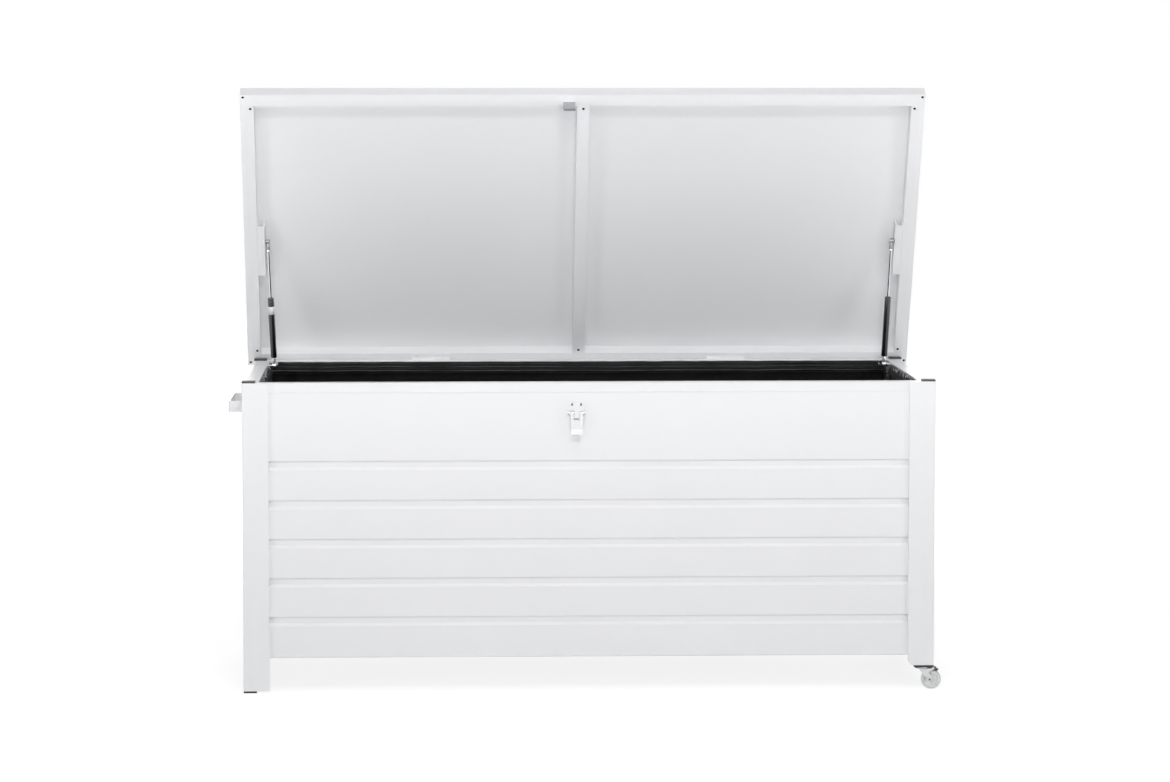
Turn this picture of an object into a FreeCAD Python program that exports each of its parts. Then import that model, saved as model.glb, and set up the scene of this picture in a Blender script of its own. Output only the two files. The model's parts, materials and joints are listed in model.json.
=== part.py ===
import FreeCAD, Part
import json
import math
import os

# Cushion storage box: a ribbed sheet box on four corner posts, two of them on casters,
# with a gas-sprung lid that stands open at rest, a draw latch, a side handle and a cloth liner.
# Lengths are in millimetres and angles in degrees. Pieces are drawn with x from the middle of the
# box to the right, y from the front faces of the posts to the back and z up from the floor.
# save() then moves each piece back so that the origin lies under the middle of the whole.

Vector = FreeCAD.Vector

# Overall sizes
box_width = 1568.0
box_depth = 718.0
rim_height = 704.0
open_angle = 61.1

# Sheet, tube and general clearances
sheet = 1.2
tube = 30.0
tube_wall = 1.5
edge_round = 1.0
bend_radius = 1.5
seam_gap = 0.1
free_gap = 0.3

# Corner posts, their black end pieces and the casters' post ends
fin_reach = 29.0
fin_thickness = 2.0
cap_height = 4.5
plug_depth = 12.0
plug_fit = 0.2
foot_height = 4.5
caster_post_bottom = 56.0
caster_plate_side = 44.0
caster_plate_height = 5.0
fin_end_cut = 9.0

# Walls
wall_inset = 7.0
top_rail_height = 23.0
bottom_rail_height = 25.0
bottom_rail_top = 110.0
rail_lip_height = 12.0
rail_lip_thickness = 1.5
panel_bottom = 79.0
hem_width = 14.0
groove_height = 21.0
groove_depth = 5.0
groove_upper_slope = 3.0
groove_lower_slope = 6.0
groove_count = 5
plain_pitches = 2
lowest_pitch_above_hem = 5.0
floor_edge_gap = 5.0
floor_bar_spacing = 390.0
floor_bar_width = 25.0

# Cloth liner
cloth = 1.6
liner_gap = 0.6
liner_top_drop = 2.0
hem_roll_bulge = 1.8
hem_roll_heights = (6.0, 7.0, 10.0)
liner_notch_half = 24.0
liner_notch_depth = 26.0
liner_notch_in = 20.0

# Lid
lid_overhang = 16.0
front_lip = 19.0
side_lip = 14.0
rear_lip = 12.0
hole_radius = 3.2
corner_hole_in = 6.5
corner_hole_back = 7.5
rail_hole_in = 23.0
rail_hole_back = 39.0
rail_hole_ahead = 21.0

# Hinges between the rear rail and the lid
hinge_spacing = 716.0
hinge_width = 92.0
hinge_segments = 5
hinge_leaf = 1.6
hinge_knuckle_radius = 3.2
hinge_pin_radius = 1.6
hinge_pin_fit = 0.05
hinge_inset = 2.5
hinge_height_share = 0.4
box_leaf_reach = 21.0
rivet_radius = 3.0
rivet_height = 1.0
rivet_crown = 0.6

# Gas springs: lower ball on the side rail, upper ball beside the lid's side rail
spring_low_ahead = 100.0
spring_low_below = 8.4
spring_low_inset = 51.0
spring_top_along = 325.0
spring_top_up = 12.0
spring_top_inset = 39.0
ball_radius = 4.0
ball_fit = 0.05
neck_radius = 2.2
socket_radius = 5.8
socket_half = 4.6
socket_mouth = 3.4
socket_shank_radius = 4.2
socket_shank_end = 20.0
cylinder_radius = 7.5
cylinder_wall = 1.2
cylinder_start = 19.0
cylinder_length = 147.0
cylinder_end_thickness = 4.0
spring_rod_radius = 3.0
spring_rod_fit = 0.05
rod_overlap = 14.0
piston_height = 6.0
stud_gap = 0.6
low_bracket_length = 40.0
low_bracket_height = 20.0
low_bracket_corner = 4.0
bracket_sheet = 2.0
top_bracket_start = 235.0
top_bracket_end = 372.0
top_bracket_width = 17.0
top_bracket_height = 24.0

# Draw latch, left of the middle, and its keeper on the lid
latch_middle = -29.5
latch_width = 32.0
latch_corner = 6.0
latch_sheet = 1.5
latch_top_below_rim = 43.0
latch_height = 74.0
latch_pin_below_rim = 69.5
latch_pin_out = 7.5
latch_pin_radius = 2.5
latch_pin_length = 40.5
latch_pin_head = 4.0
ear_root_half = 9.0
ear_tip_half = 4.5
ear_nose_half = 2.0
ear_nose_out = 3.5
latch_fit = 0.05
lever_width = 28.0
lever_top = 0.5
lever_boss_radius = 5.0
lever_cheek_end = 3.0
lever_face_out = 7.5
lever_length = 36.0
lever_tab_length = 13.0
lever_tab_out = 5.0
lever_tab_width = 26.0
lever_slot = 13.0
lever_slot_end = 15.5
lever_range = 92.0
claw_pin_out = 3.0
claw_pin_down = 9.0
claw_pin_radius = 2.0
claw_width = 10.0
claw_step = 3.2
claw_hook = 4.0
slot_spacing = 20.0
slot_below_rim = 51.5
slot_hole_radius = 2.0
slot_neck_width = 1.8
slot_neck_length = 5.0
keeper_middle = -33.5
keeper_width = 27.0
keeper_reach = 18.0
keeper_drop = 37.0
keeper_hook = 5.0
keeper_bend = 0.5
keeper_round = 3.0

# Handle on the left wall
handle_length = 280.0
handle_foot = 30.0
handle_splay = 6.0
handle_stand = 48.0
handle_tall = 25.5
handle_top_below_rim = 60.0
handle_strap = 3.0
handle_bend = 5.0
handle_screw_inset = 11.0
screw_head_radius = 5.0
screw_head_height = 3.0

# Casters
wheel_radius = 22.5
wheel_width = 17.0
wheel_round = 4.0
wheel_dish_depth = 3.0
wheel_dish_outer = 0.66
wheel_dish_inner = 0.3
axle_radius = 3.0
axle_fit = 0.05
axle_head_radius = 4.5
axle_head_height = 1.5
caster_trail = 18.5
caster_turn_front = -18.0
caster_turn_rear = 12.0
race_radius = 15.0
race_height = 2.2
kingpin_radius = 4.0
kingpin_fit = 0.05
kingpin_head_radius = 5.0
kingpin_head_height = 1.4
fork_sheet = 2.0
fork_side_gap = 1.5
fork_boss_radius = 6.5
fork_crown_radius = 20.0
fork_ear_radius = 3.0
fork_cheek_back = 0.42
fork_waist_in = 9.0
fork_waist_down = 9.0
brake_pivot_ahead = 7.0
brake_pivot_height = 47.5
brake_pin_radius = 1.5
brake_pad_length = 10.0
brake_pad_thickness = 3.0
brake_pad_round = 3.0
brake_hub_wall = 1.5
brake_slope = 24.0
brake_range = 9.0

# Sizes and places that follow from the ones above
half_width = box_width / 2.0
half_depth = box_depth / 2.0
groove_pitch = (rim_height - panel_bottom - lowest_pitch_above_hem) / (plain_pitches + groove_count)
post_face = tube + fin_reach
rail_back = wall_inset + tube
rail_bottom = rim_height - top_rail_height
panel_face = wall_inset + free_gap
panel_back = panel_face + sheet
lid_plane = rim_height + cap_height + free_gap
lid_rail_plane = lid_plane + sheet
lid_height = tube + 2.0 * sheet
lid_half_width = half_width + lid_overhang
lid_front = -lid_overhang
lid_back = box_depth + lid_overhang
hinge_y = box_depth - hinge_inset
hinge_z = rim_height + (lid_rail_plane - rim_height) * hinge_height_share
liner_face = rail_back + liner_gap
liner_bottom = bottom_rail_top + sheet
liner_top = rim_height - liner_top_drop
spring_low = Vector(half_width - spring_low_inset, hinge_y - spring_low_ahead, hinge_z - spring_low_below)
spring_top_closed = Vector(half_width - spring_top_inset, hinge_y - spring_top_along,
                           hinge_z + spring_top_up)
lid_side_rail_face = lid_half_width - sheet - tube
latch_top = rim_height - latch_top_below_rim
latch_pin = Vector(latch_middle, panel_face - latch_pin_out, rim_height - latch_pin_below_rim)
claw_pin = latch_pin + Vector(0, -claw_pin_out, -claw_pin_down)
caster_middle = Vector(half_width - caster_plate_side / 2.0, caster_plate_side / 2.0, 0)
race_bottom = caster_post_bottom - caster_plate_height - race_height
fork_top = race_bottom - free_gap
fork_half = wheel_width / 2.0 + fork_side_gap
tilt = math.radians(open_angle)
lid_back_reach = lid_back - hinge_y
lid_top_reach = lid_plane + lid_height - hinge_z
rest_back = hinge_y + lid_back_reach * math.cos(tilt) + lid_top_reach * math.sin(tilt)
rest_front = latch_pin.y - lever_face_out - latch_sheet - lever_tab_out
origin_y = (rest_back + rest_front) / 2.0

node_names = []


def save(name, *pieces):
    """Write one node, moved from drawing places to the part's own frame."""
    shape = pieces[0] if len(pieces) == 1 else Part.makeCompound(list(pieces))
    moved = shape.copy()
    moved.translate(Vector(0, -origin_y, 0))
    moved.exportStep("parts/%s.step" % name)
    node_names.append(name)
    good = moved.isValid() and all(solid.isClosed() for solid in moved.Solids)
    state = "ok" if good else "BAD"
    print("%-26s solids %2d volume %10.1f %s" % (name, len(moved.Solids), moved.Volume, state))


def block(x0, x1, y0, y1, z0, z1):
    return Part.makeBox(x1 - x0, y1 - y0, z1 - z0, Vector(x0, y0, z0))


def bar(start, end, radius):
    """Round bar from one point to another."""
    run = end.sub(start)
    return Part.makeCylinder(radius, run.Length, start, run)


def polygon_face(points):
    """Flat face through 3-D points."""
    return Part.Face(Part.makePolygon(points + points[:1]))


def prism_x(outline, x0, x1):
    """Solid whose (y, z) outline runs from x0 to x1."""
    return polygon_face([Vector(x0, y, z) for y, z in outline]).extrude(Vector(x1 - x0, 0, 0))


def prism_y(outline, y0, y1):
    """Solid whose (x, z) outline runs from y0 to y1."""
    return polygon_face([Vector(x, y0, z) for x, z in outline]).extrude(Vector(0, y1 - y0, 0))


def square_tube(x0, x1, y0, y1, z0, z1, axis):
    """Rectangular tube with its bore along axis and its long edges rounded."""
    outer = block(x0, x1, y0, y1, z0, z1)
    along = {"x": Vector(1, 0, 0), "y": Vector(0, 1, 0), "z": Vector(0, 0, 1)}[axis]
    outer = outer.makeFillet(min(edge_round, tube_wall), edges_along(outer, along))
    low = [x0 + tube_wall, y0 + tube_wall, z0 + tube_wall]
    high = [x1 - tube_wall, y1 - tube_wall, z1 - tube_wall]
    index = "xyz".index(axis)
    low[index] = (x0, y0, z0)[index] - 1.0
    high[index] = (x1, y1, z1)[index] + 1.0
    return outer.cut(block(low[0], high[0], low[1], high[1], low[2], high[2]))


def edges_along(shape, direction):
    """Straight edges of a solid that run along a direction."""
    found = []
    for edge in shape.Edges:
        if len(edge.Vertexes) < 2:
            continue
        run = edge.Vertexes[1].Point.sub(edge.Vertexes[0].Point)
        if run.Length > 0.01 and run.cross(direction).Length < 0.001 * run.Length:
            found.append(edge)
    return found


def round_edges(shape):
    """Edges of a solid that are circles."""
    return [edge for edge in shape.Edges if isinstance(edge.Curve, Part.Circle)]


def face_path(points, radii):
    """Lines and tangent arcs along flat points, with one bend radius per inner point."""
    edges = []
    here = points[0]
    for index in range(1, len(points) - 1):
        before = points[index].sub(points[index - 1]).normalize()
        after = points[index + 1].sub(points[index]).normalize()
        half_turn = before.getAngle(after) / 2.0
        reach = radii[index - 1] * math.tan(half_turn)
        start = points[index].sub(before * reach)
        end = points[index].add(after * reach)
        inward = after.sub(before).normalize()
        sag = radii[index - 1] * (1.0 / math.cos(half_turn) - 1.0)
        edges.append(Part.LineSegment(here, start).toShape())
        edges.append(Part.Arc(start, points[index].add(inward * sag), end).toShape())
        here = end
    edges.append(Part.LineSegment(here, points[-1]).toShape())
    return edges


def bent_sheet(pairs, thickness, inner_radius):
    """Face of a bent sheet. One side follows the pairs and the sheet lies to the left of the way."""
    base = [Vector(a, b, 0) for a, b in pairs]
    left = []
    base_radii = []
    left_radii = []
    for index, point in enumerate(base):
        ways = []
        if index > 0:
            ways.append(point.sub(base[index - 1]).normalize())
        if index < len(base) - 1:
            ways.append(base[index + 1].sub(point).normalize())
        sides = [Vector(-way.y, way.x, 0) for way in ways]
        middle = (sides[0] + sides[-1]).normalize()
        left.append(point + middle * (thickness / middle.dot(sides[0])))
        if len(ways) == 2:
            turns_left = ways[0].cross(ways[1]).z > 0
            base_radii.append(inner_radius + (thickness if turns_left else 0.0))
            left_radii.append(inner_radius + (0.0 if turns_left else thickness))
    edges = face_path(base, base_radii)
    edges += face_path(left, left_radii)
    edges.append(Part.LineSegment(base[0], left[0]).toShape())
    edges.append(Part.LineSegment(base[-1], left[-1]).toShape())
    return Part.Face(Part.Wire(Part.__sortEdges__(edges)))


def sheet_along_x(pairs, thickness, inner_radius, x0, x1):
    """Bent sheet whose (y, z) section runs from x0 to x1."""
    face = bent_sheet(pairs, thickness, inner_radius)
    matrix = FreeCAD.Matrix(0, 0, 1, x0, 1, 0, 0, 0, 0, 1, 0, 0, 0, 0, 0, 1)
    return face.transformGeometry(matrix).extrude(Vector(x1 - x0, 0, 0))


def turned(shape, point, axis, angle):
    """Copy of a shape turned about an axis through a point."""
    copy = shape.copy()
    copy.rotate(point, axis, angle)
    return copy


def shifted(shape, x, y, z):
    copy = shape.copy()
    copy.translate(Vector(x, y, z))
    return copy


def other_side(shape):
    """Mirror image from the left side to the right, or back."""
    return shape.mirror(Vector(0, 0, 0), Vector(1, 0, 0))


def other_end(shape):
    """Mirror image from the front to the rear, or back."""
    return shape.mirror(Vector(0, half_depth, 0), Vector(0, 1, 0))


def on_wall(shape, wall):
    """Carry a shape drawn for the front wall, about x = 0, to one of the four walls."""
    turn = {"front": 0.0, "right": 90.0, "rear": 180.0, "left": -90.0}[wall]
    reach = half_depth if wall in ("front", "rear") else half_width
    centred = shifted(shape, 0, -reach, 0)
    return shifted(turned(centred, Vector(0, 0, 0), Vector(0, 0, 1), turn), 0, half_depth, 0)


def lifted(shape):
    """Carry a piece of the closed lid to the open rest place."""
    return turned(shape, Vector(0, hinge_y, hinge_z), Vector(1, 0, 0), -open_angle)


def front_left_post(bottom):
    """Square tube with a fin along each wall and a return lip that meets the wall panel."""
    section = square_tube(0, tube, 0, tube, bottom, rim_height, "z")
    fin = block(tube - edge_round, post_face, 0, fin_thickness, bottom, rim_height)
    lip = block(post_face - fin_thickness, post_face, 0, wall_inset - seam_gap, bottom, rim_height)
    front = fin.fuse(lip)
    side = front.mirror(Vector(0, 0, 0), Vector(1, -1, 0))
    post = section.fuse(front).fuse(side).removeSplitter()
    return shifted(post, -half_width, 0, 0)


def caster_post():
    """Post that stands on a caster. The lower ends of its fins are cut at a slant."""
    post = front_left_post(caster_post_bottom)
    slant = ((post_face - fin_end_cut, caster_post_bottom), (post_face + 1.0, caster_post_bottom),
             (post_face + 1.0, caster_post_bottom + fin_end_cut))
    cutter = prism_y(slant, -1.0, wall_inset + 1.0)
    other = cutter.mirror(Vector(0, 0, 0), Vector(1, -1, 0))
    for tool in (cutter, other):
        post = post.cut(shifted(tool, -half_width, 0, 0))
    return other_side(post)


def end_piece(height, outer_up):
    """Flat end of a post with a plug in the tube's bore, drawn for the front left post at z = 0."""
    top = block(0, tube, 0, tube, 0, height)
    rim = [edge for edge in top.Edges if abs(edge.CenterOfMass.z - height) < 0.001]
    top = top.makeFillet(edge_round, rim)
    start = tube_wall + plug_fit
    plug = block(start, tube - start, start, tube - start, -plug_depth, 0)
    piece = shifted(top.fuse(plug), -half_width, 0, 0)
    if not outer_up:
        piece = piece.mirror(Vector(0, 0, 0), Vector(0, 0, 1))
    return piece


def posts():
    left = front_left_post(foot_height)
    right = caster_post()
    save("post_front_left", left)
    save("post_rear_left", other_end(left))
    save("post_front_right", right)
    save("post_rear_right", other_end(right))
    cap = shifted(end_piece(cap_height, True), 0, 0, rim_height)
    save("post_caps", cap, other_end(cap), other_side(cap), other_side(other_end(cap)))
    foot = shifted(end_piece(foot_height, False), 0, 0, foot_height)
    save("post_feet", foot, other_end(foot))


def wall_rail(half_length, y0, z0, z1):
    return square_tube(-half_length, half_length, y0, rail_back, z0, z1, "x")


def wall_frame():
    """Top and bottom rails. The side rails are notched round the front and rear ones."""
    lengths = {"front": half_width - tube, "rear": half_width - tube,
               "left": half_depth - tube, "right": half_depth - tube}
    tops = {}
    bottoms = {}
    for wall, half_length in lengths.items():
        top = wall_rail(half_length, wall_inset, rail_bottom, rim_height)
        lip_start = panel_back + seam_gap
        lip = block(-half_length, half_length, lip_start, lip_start + rail_lip_thickness,
                    rail_bottom - rail_lip_height, rail_bottom)
        tops[wall] = on_wall(top.fuse(lip), wall)
        bottom = wall_rail(half_length, panel_back + seam_gap, bottom_rail_top - bottom_rail_height,
                           bottom_rail_top)
        bottoms[wall] = on_wall(bottom, wall)
    for label, rails in (("top", tops), ("bottom", bottoms)):
        for wall in lengths:
            rail = rails[wall]
            if wall in ("left", "right"):
                filled = block(-half_width, half_width, wall_inset, rail_back, 0, rim_height)
                rail = rail.cut(corner_blocks(filled))
            save("%s_rail_%s" % (label, wall), rail)


def corner_blocks(filled):
    """Room that the front and rear rails take where the side rails meet them."""
    inner = block(-half_width + tube, half_width - tube, wall_inset, rail_back, 0, rim_height)
    front = filled.common(inner)
    return front.fuse(other_end(front))


def panel(half_length):
    """Pressed wall sheet: plain above, even grooves below and a folded hem along the bottom."""
    outline = [(panel_face, rail_bottom - seam_gap)]
    for number in range(groove_count):
        upper = rim_height - groove_pitch * (plain_pitches + number)
        lower = upper - groove_height
        deep = panel_face + groove_depth
        outline += [(panel_face, upper), (deep, upper - groove_upper_slope),
                    (deep, lower + groove_lower_slope), (panel_face, lower)]
    outline += [(panel_face, panel_bottom), (panel_face + hem_width, panel_bottom)]
    return sheet_along_x(outline, sheet, bend_radius, -half_length, half_length)


def walls():
    """Four wall sheets. The front one has the latch's two keyhole slots in it."""
    long_wall = panel(half_width - tube - free_gap)
    save("panel_front", long_wall.cut(latch_slots(panel_face - 1.0, panel_back + 1.0)))
    save("panel_rear", on_wall(long_wall, "rear"))
    for wall in ("left", "right"):
        save("panel_" + wall, on_wall(panel(half_depth - tube - free_gap), wall))


def latch_slots(y0, y1):
    """Tools for two keyhole slots, each a hole with a narrow neck above it."""
    z = rim_height - slot_below_rim
    half_neck = slot_neck_width / 2.0
    tools = []
    for side in (-1, 1):
        x = latch_middle + side * slot_spacing / 2.0
        tools.append(bar(Vector(x, y0, z), Vector(x, y1, z), slot_hole_radius))
        tools.append(block(x - half_neck, x + half_neck, y0, y1, z, z + slot_neck_length))
    return tools


def floor():
    """Floor sheet on the bottom rails, notched round the posts, over three cross bars."""
    edge = panel_back + floor_edge_gap
    whole = block(-half_width + edge, half_width - edge, edge, box_depth - edge,
                  bottom_rail_top, bottom_rail_top + sheet)
    corner = block(-half_width, -half_width + tube + free_gap, 0, tube + free_gap,
                   bottom_rail_top - 1.0, bottom_rail_top + sheet + 1.0)
    for tool in (corner, other_side(corner), other_end(corner), other_side(other_end(corner))):
        whole = whole.cut(tool)
    save("floor_sheet", whole)
    bars = []
    for step in (-1, 0, 1):
        middle = step * floor_bar_spacing
        bars.append(square_tube(middle - floor_bar_width / 2.0, middle + floor_bar_width / 2.0,
                                rail_back, box_depth - rail_back,
                                bottom_rail_top - bottom_rail_height, bottom_rail_top, "y"))
    save("floor_bars", *bars)


def liner_wall(half_length, rolls):
    """One cloth wall that hangs from the rail's inner face, with its hem in soft rolls or flat."""
    inner = liner_face + cloth
    edges = []
    height = liner_top
    for roll in rolls:
        middle = Vector(0, inner + hem_roll_bulge, height - roll / 2.0)
        edges.append(Part.Arc(Vector(0, inner, height), middle, Vector(0, inner, height - roll)).toShape())
        height -= roll
    corners = [Vector(0, inner, height), Vector(0, inner, liner_bottom), Vector(0, liner_face, liner_bottom),
               Vector(0, liner_face, liner_top), Vector(0, inner, liner_top)]
    edges += [Part.LineSegment(corners[i], corners[i + 1]).toShape() for i in range(len(corners) - 1)]
    face = Part.Face(Part.Wire(Part.__sortEdges__(edges)))
    return shifted(face.extrude(Vector(2.0 * half_length, 0, 0)), -half_length, 0, 0)


def liner():
    """Cloth liner sewn from a floor and four walls. The side walls lie flat, out of the springs' way."""
    front = liner_wall(half_width - liner_face, hem_roll_heights)
    rear = on_wall(front, "rear")
    side = liner_wall(half_depth - liner_face, ())
    notch = block(half_width - liner_face - liner_notch_in, half_width, spring_low.y - liner_notch_half,
                  spring_low.y + liner_notch_half, rim_height - liner_notch_depth, rim_height)
    right = on_wall(side, "right").cut(front).cut(rear).cut(notch)
    base = block(-half_width + liner_face + cloth, half_width - liner_face - cloth, liner_face + cloth,
                 box_depth - liner_face - cloth, liner_bottom, liner_bottom + cloth)
    save("liner", front, rear, right, other_side(right), base)


def lid():
    """Folded lid sheet with return lips, over a frame of square tubes."""
    top = lid_plane + lid_height
    pan = block(-lid_half_width, lid_half_width, lid_front, lid_back, lid_plane, top)
    crest = [edge for edge in pan.Edges if edge.CenterOfMass.z > lid_plane + 1.0]
    pan = pan.makeFillet(edge_round, crest)
    inside = block(-lid_half_width + sheet, lid_half_width - sheet, lid_front + sheet, lid_back - sheet,
                   lid_rail_plane, top - sheet)
    mouth = block(-lid_half_width + side_lip, lid_half_width - side_lip, lid_front + front_lip,
                  lid_back - rear_lip, lid_plane - 1.0, lid_rail_plane)
    pan = pan.cut(inside).cut(mouth)
    corner_x = lid_half_width - corner_hole_in
    for x in (-corner_x, corner_x):
        for y in (lid_front + corner_hole_back, lid_back - corner_hole_back):
            pan = pan.cut(lid_hole(x, y))
    save("lid_sheet", lifted(pan))

    front = square_tube(-lid_half_width + sheet, lid_half_width - sheet, lid_front + sheet,
                        lid_front + sheet + tube, lid_rail_plane, lid_rail_plane + tube, "x")
    rear = shifted(front, 0, lid_back - lid_front - 2.0 * sheet - tube, 0)
    for x in (-corner_x, corner_x):
        front = front.cut(lid_hole(x, lid_front + corner_hole_back))
        rear = rear.cut(lid_hole(x, lid_back - corner_hole_back))
    save("lid_rail_front", lifted(front))
    save("lid_rail_rear", lifted(rear))
    right = square_tube(lid_side_rail_face, lid_side_rail_face + tube, lid_front + sheet + tube,
                        lid_back - sheet - tube, lid_rail_plane, lid_rail_plane + tube, "y")
    middle = shifted(right, -lid_side_rail_face - tube / 2.0, 0, 0)
    hole_rows = (lid_front + rail_hole_back, hinge_y - rail_hole_ahead)
    for y in hole_rows:
        right = right.cut(lid_hole(lid_half_width - rail_hole_in, y))
        middle = middle.cut(lid_hole(0, y))
    save("lid_rail_right", lifted(right))
    save("lid_rail_left", lifted(other_side(right)))
    save("lid_rail_middle", lifted(middle))


def lid_hole(x, y):
    """Drill through a lip or the lower wall of a lid rail."""
    return bar(Vector(x, y, lid_plane - 1.0), Vector(x, y, lid_rail_plane + tube_wall + 1.0), hole_radius)


def hinge_leaf_plate(z0, y_far, first):
    """Leaf about x = 0 with every second knuckle, from the first or the second on."""
    half = hinge_width / 2.0
    clear = hinge_y - hinge_knuckle_radius - free_gap
    leaf = block(-half, half, y_far, clear, z0, z0 + hinge_leaf)
    span = hinge_width / hinge_segments
    bore = bar(Vector(-half - 1.0, hinge_y, hinge_z), Vector(half + 1.0, hinge_y, hinge_z),
               hinge_pin_radius + hinge_pin_fit)
    for number in range(first, hinge_segments, 2):
        x0 = -half + number * span + free_gap / 2.0
        x1 = -half + (number + 1) * span - free_gap / 2.0
        knuckle = bar(Vector(x0, hinge_y, hinge_z), Vector(x1, hinge_y, hinge_z), hinge_knuckle_radius)
        leaf = leaf.fuse(block(x0, x1, clear - 1.0, hinge_y, z0, z0 + hinge_leaf)).fuse(knuckle)
    return leaf.cut(bore)


def rivet(x, y, z, up):
    """Low domed rivet head on a level face, above it or below it."""
    return Part.makeCone(rivet_radius, rivet_radius * rivet_crown, rivet_height, Vector(x, y, z),
                         Vector(0, 0, up))


def hinges():
    box_leaf = hinge_leaf_plate(rim_height, box_depth - wall_inset - box_leaf_reach, 0)
    lid_leaf = hinge_leaf_plate(lid_rail_plane - hinge_leaf, lid_back - sheet - tube, 1)
    half = hinge_width / 2.0
    pin = bar(Vector(-half, hinge_y, hinge_z), Vector(half, hinge_y, hinge_z), hinge_pin_radius)
    heads = []
    lid_heads = []
    for side in (-1, 1):
        middle = side * hinge_spacing / 2.0
        for step in (-1, 1):
            x = middle + step * hinge_width / 3.0
            heads.append(rivet(x, box_depth - wall_inset - box_leaf_reach / 2.0, rim_height + hinge_leaf, 1))
            lid_heads.append(lifted(rivet(x, (lid_back - sheet - tube + hinge_y) / 2.0 - 1.0,
                                          lid_rail_plane - hinge_leaf, -1)))
    save("hinge_box_leaves", *[shifted(box_leaf, s * hinge_spacing / 2.0, 0, 0) for s in (-1, 1)])
    save("hinge_lid_leaves", *[lifted(shifted(lid_leaf, s * hinge_spacing / 2.0, 0, 0)) for s in (-1, 1)])
    save("hinge_pins", *[shifted(pin, s * hinge_spacing / 2.0, 0, 0) for s in (-1, 1)])
    save("hinge_box_rivets", *heads)
    save("hinge_lid_rivets", *lid_heads)


def spring_facts():
    """Rest place of the upper ball, and the ways to it from the lower ball, at rest and with the lid closed."""
    top = turned(Part.Vertex(spring_top_closed), Vector(0, hinge_y, hinge_z), Vector(1, 0, 0), -open_angle)
    return top.Point, top.Point.sub(spring_low), spring_top_closed.sub(spring_low)


def ball_socket():
    """Socket for a ball stud. The ball's centre is the origin, the stud comes along +x, the shank goes up."""
    body = bar(Vector(-socket_half, 0, 0), Vector(socket_half, 0, 0), socket_radius)
    shank = bar(Vector(0, 0, 0), Vector(0, 0, socket_shank_end), socket_shank_radius)
    mouth = bar(Vector(0, 0, 0), Vector(socket_half + 1.0, 0, 0), socket_mouth)
    hollow = Part.makeSphere(ball_radius + ball_fit)
    return body.fuse(shank).cut(hollow).cut(mouth)


def ball_stud(centre, x_face):
    """Ball with a neck that runs along x to a face, turned as one solid."""
    reach = abs(x_face - centre.x)
    pole = Vector(-ball_radius, 0, 0)
    neck_start = Vector(math.sqrt(ball_radius ** 2 - neck_radius ** 2), neck_radius, 0)
    corners = [neck_start, Vector(reach, neck_radius, 0), Vector(reach, 0, 0), pole]
    edges = [Part.Arc(pole, Vector(0, ball_radius, 0), neck_start).toShape()]
    edges += [Part.LineSegment(corners[i], corners[i + 1]).toShape() for i in range(3)]
    stud = Part.Face(Part.Wire(edges)).revolve(Vector(0, 0, 0), Vector(1, 0, 0), 360.0)
    turn = 0.0 if x_face > centre.x else 180.0
    return shifted(turned(stud, Vector(0, 0, 0), Vector(0, 0, 1), turn), centre.x, centre.y, centre.z)


def stand_spring(shape, direction, base):
    """Turn a shape drawn along +z to lie along a direction, and move it to its base point."""
    up = Vector(0, 0, 1)
    axis = up.cross(direction)
    angle = math.degrees(up.getAngle(direction))
    placed = turned(shape, Vector(0, 0, 0), axis, angle)
    placed.translate(base)
    return placed


def gas_springs():
    """Right-hand spring, drawn upright from the lower ball, and its mirror image."""
    top, rest, closed = spring_facts()
    length = rest.Length
    cylinder_end = cylinder_start + cylinder_length
    outer = bar(Vector(0, 0, cylinder_start), Vector(0, 0, cylinder_end), cylinder_radius)
    outer = outer.makeFillet(edge_round, round_edges(outer))
    bore = bar(Vector(0, 0, cylinder_start + cylinder_end_thickness),
               Vector(0, 0, cylinder_end - cylinder_end_thickness), cylinder_radius - cylinder_wall)
    guide = bar(Vector(0, 0, cylinder_end - cylinder_end_thickness - 1.0), Vector(0, 0, cylinder_end + 1.0),
                spring_rod_radius + spring_rod_fit)
    shank_seat = bar(Vector(0, 0, cylinder_start - 1.0), Vector(0, 0, socket_shank_end), socket_shank_radius)
    cylinder = outer.cut(bore).cut(guide).cut(shank_seat)

    rod_bottom = cylinder_end - rod_overlap - piston_height
    rod_top = length - socket_shank_end
    rod = bar(Vector(0, 0, rod_bottom), Vector(0, 0, rod_top), spring_rod_radius)
    piston = bar(Vector(0, 0, rod_bottom), Vector(0, 0, rod_bottom + piston_height),
                 cylinder_radius - cylinder_wall - spring_rod_fit)
    rod = rod.fuse(piston)

    top_socket = turned(ball_socket(), Vector(0, 0, 0), Vector(1, 0, 0), 180.0)
    top_socket.translate(Vector(0, 0, length))
    low_socket = stand_spring(ball_socket(), rest, spring_low)
    cylinder = stand_spring(cylinder, rest, spring_low)
    rod = stand_spring(rod, rest, spring_low)
    top_socket = stand_spring(top_socket, rest, spring_low)
    flange_face = lid_side_rail_face - top_bracket_width
    stud = ball_stud(top, flange_face - stud_gap)

    save("spring_cylinder_right", cylinder)
    save("spring_cylinder_left", other_side(cylinder))
    save("spring_low_socket_right", low_socket)
    save("spring_low_socket_left", other_side(low_socket))
    save("spring_rod_right", rod)
    save("spring_rod_left", other_side(rod))
    save("spring_top_socket_right", top_socket, stud)
    save("spring_top_socket_left", other_side(top_socket), other_side(stud))


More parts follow.
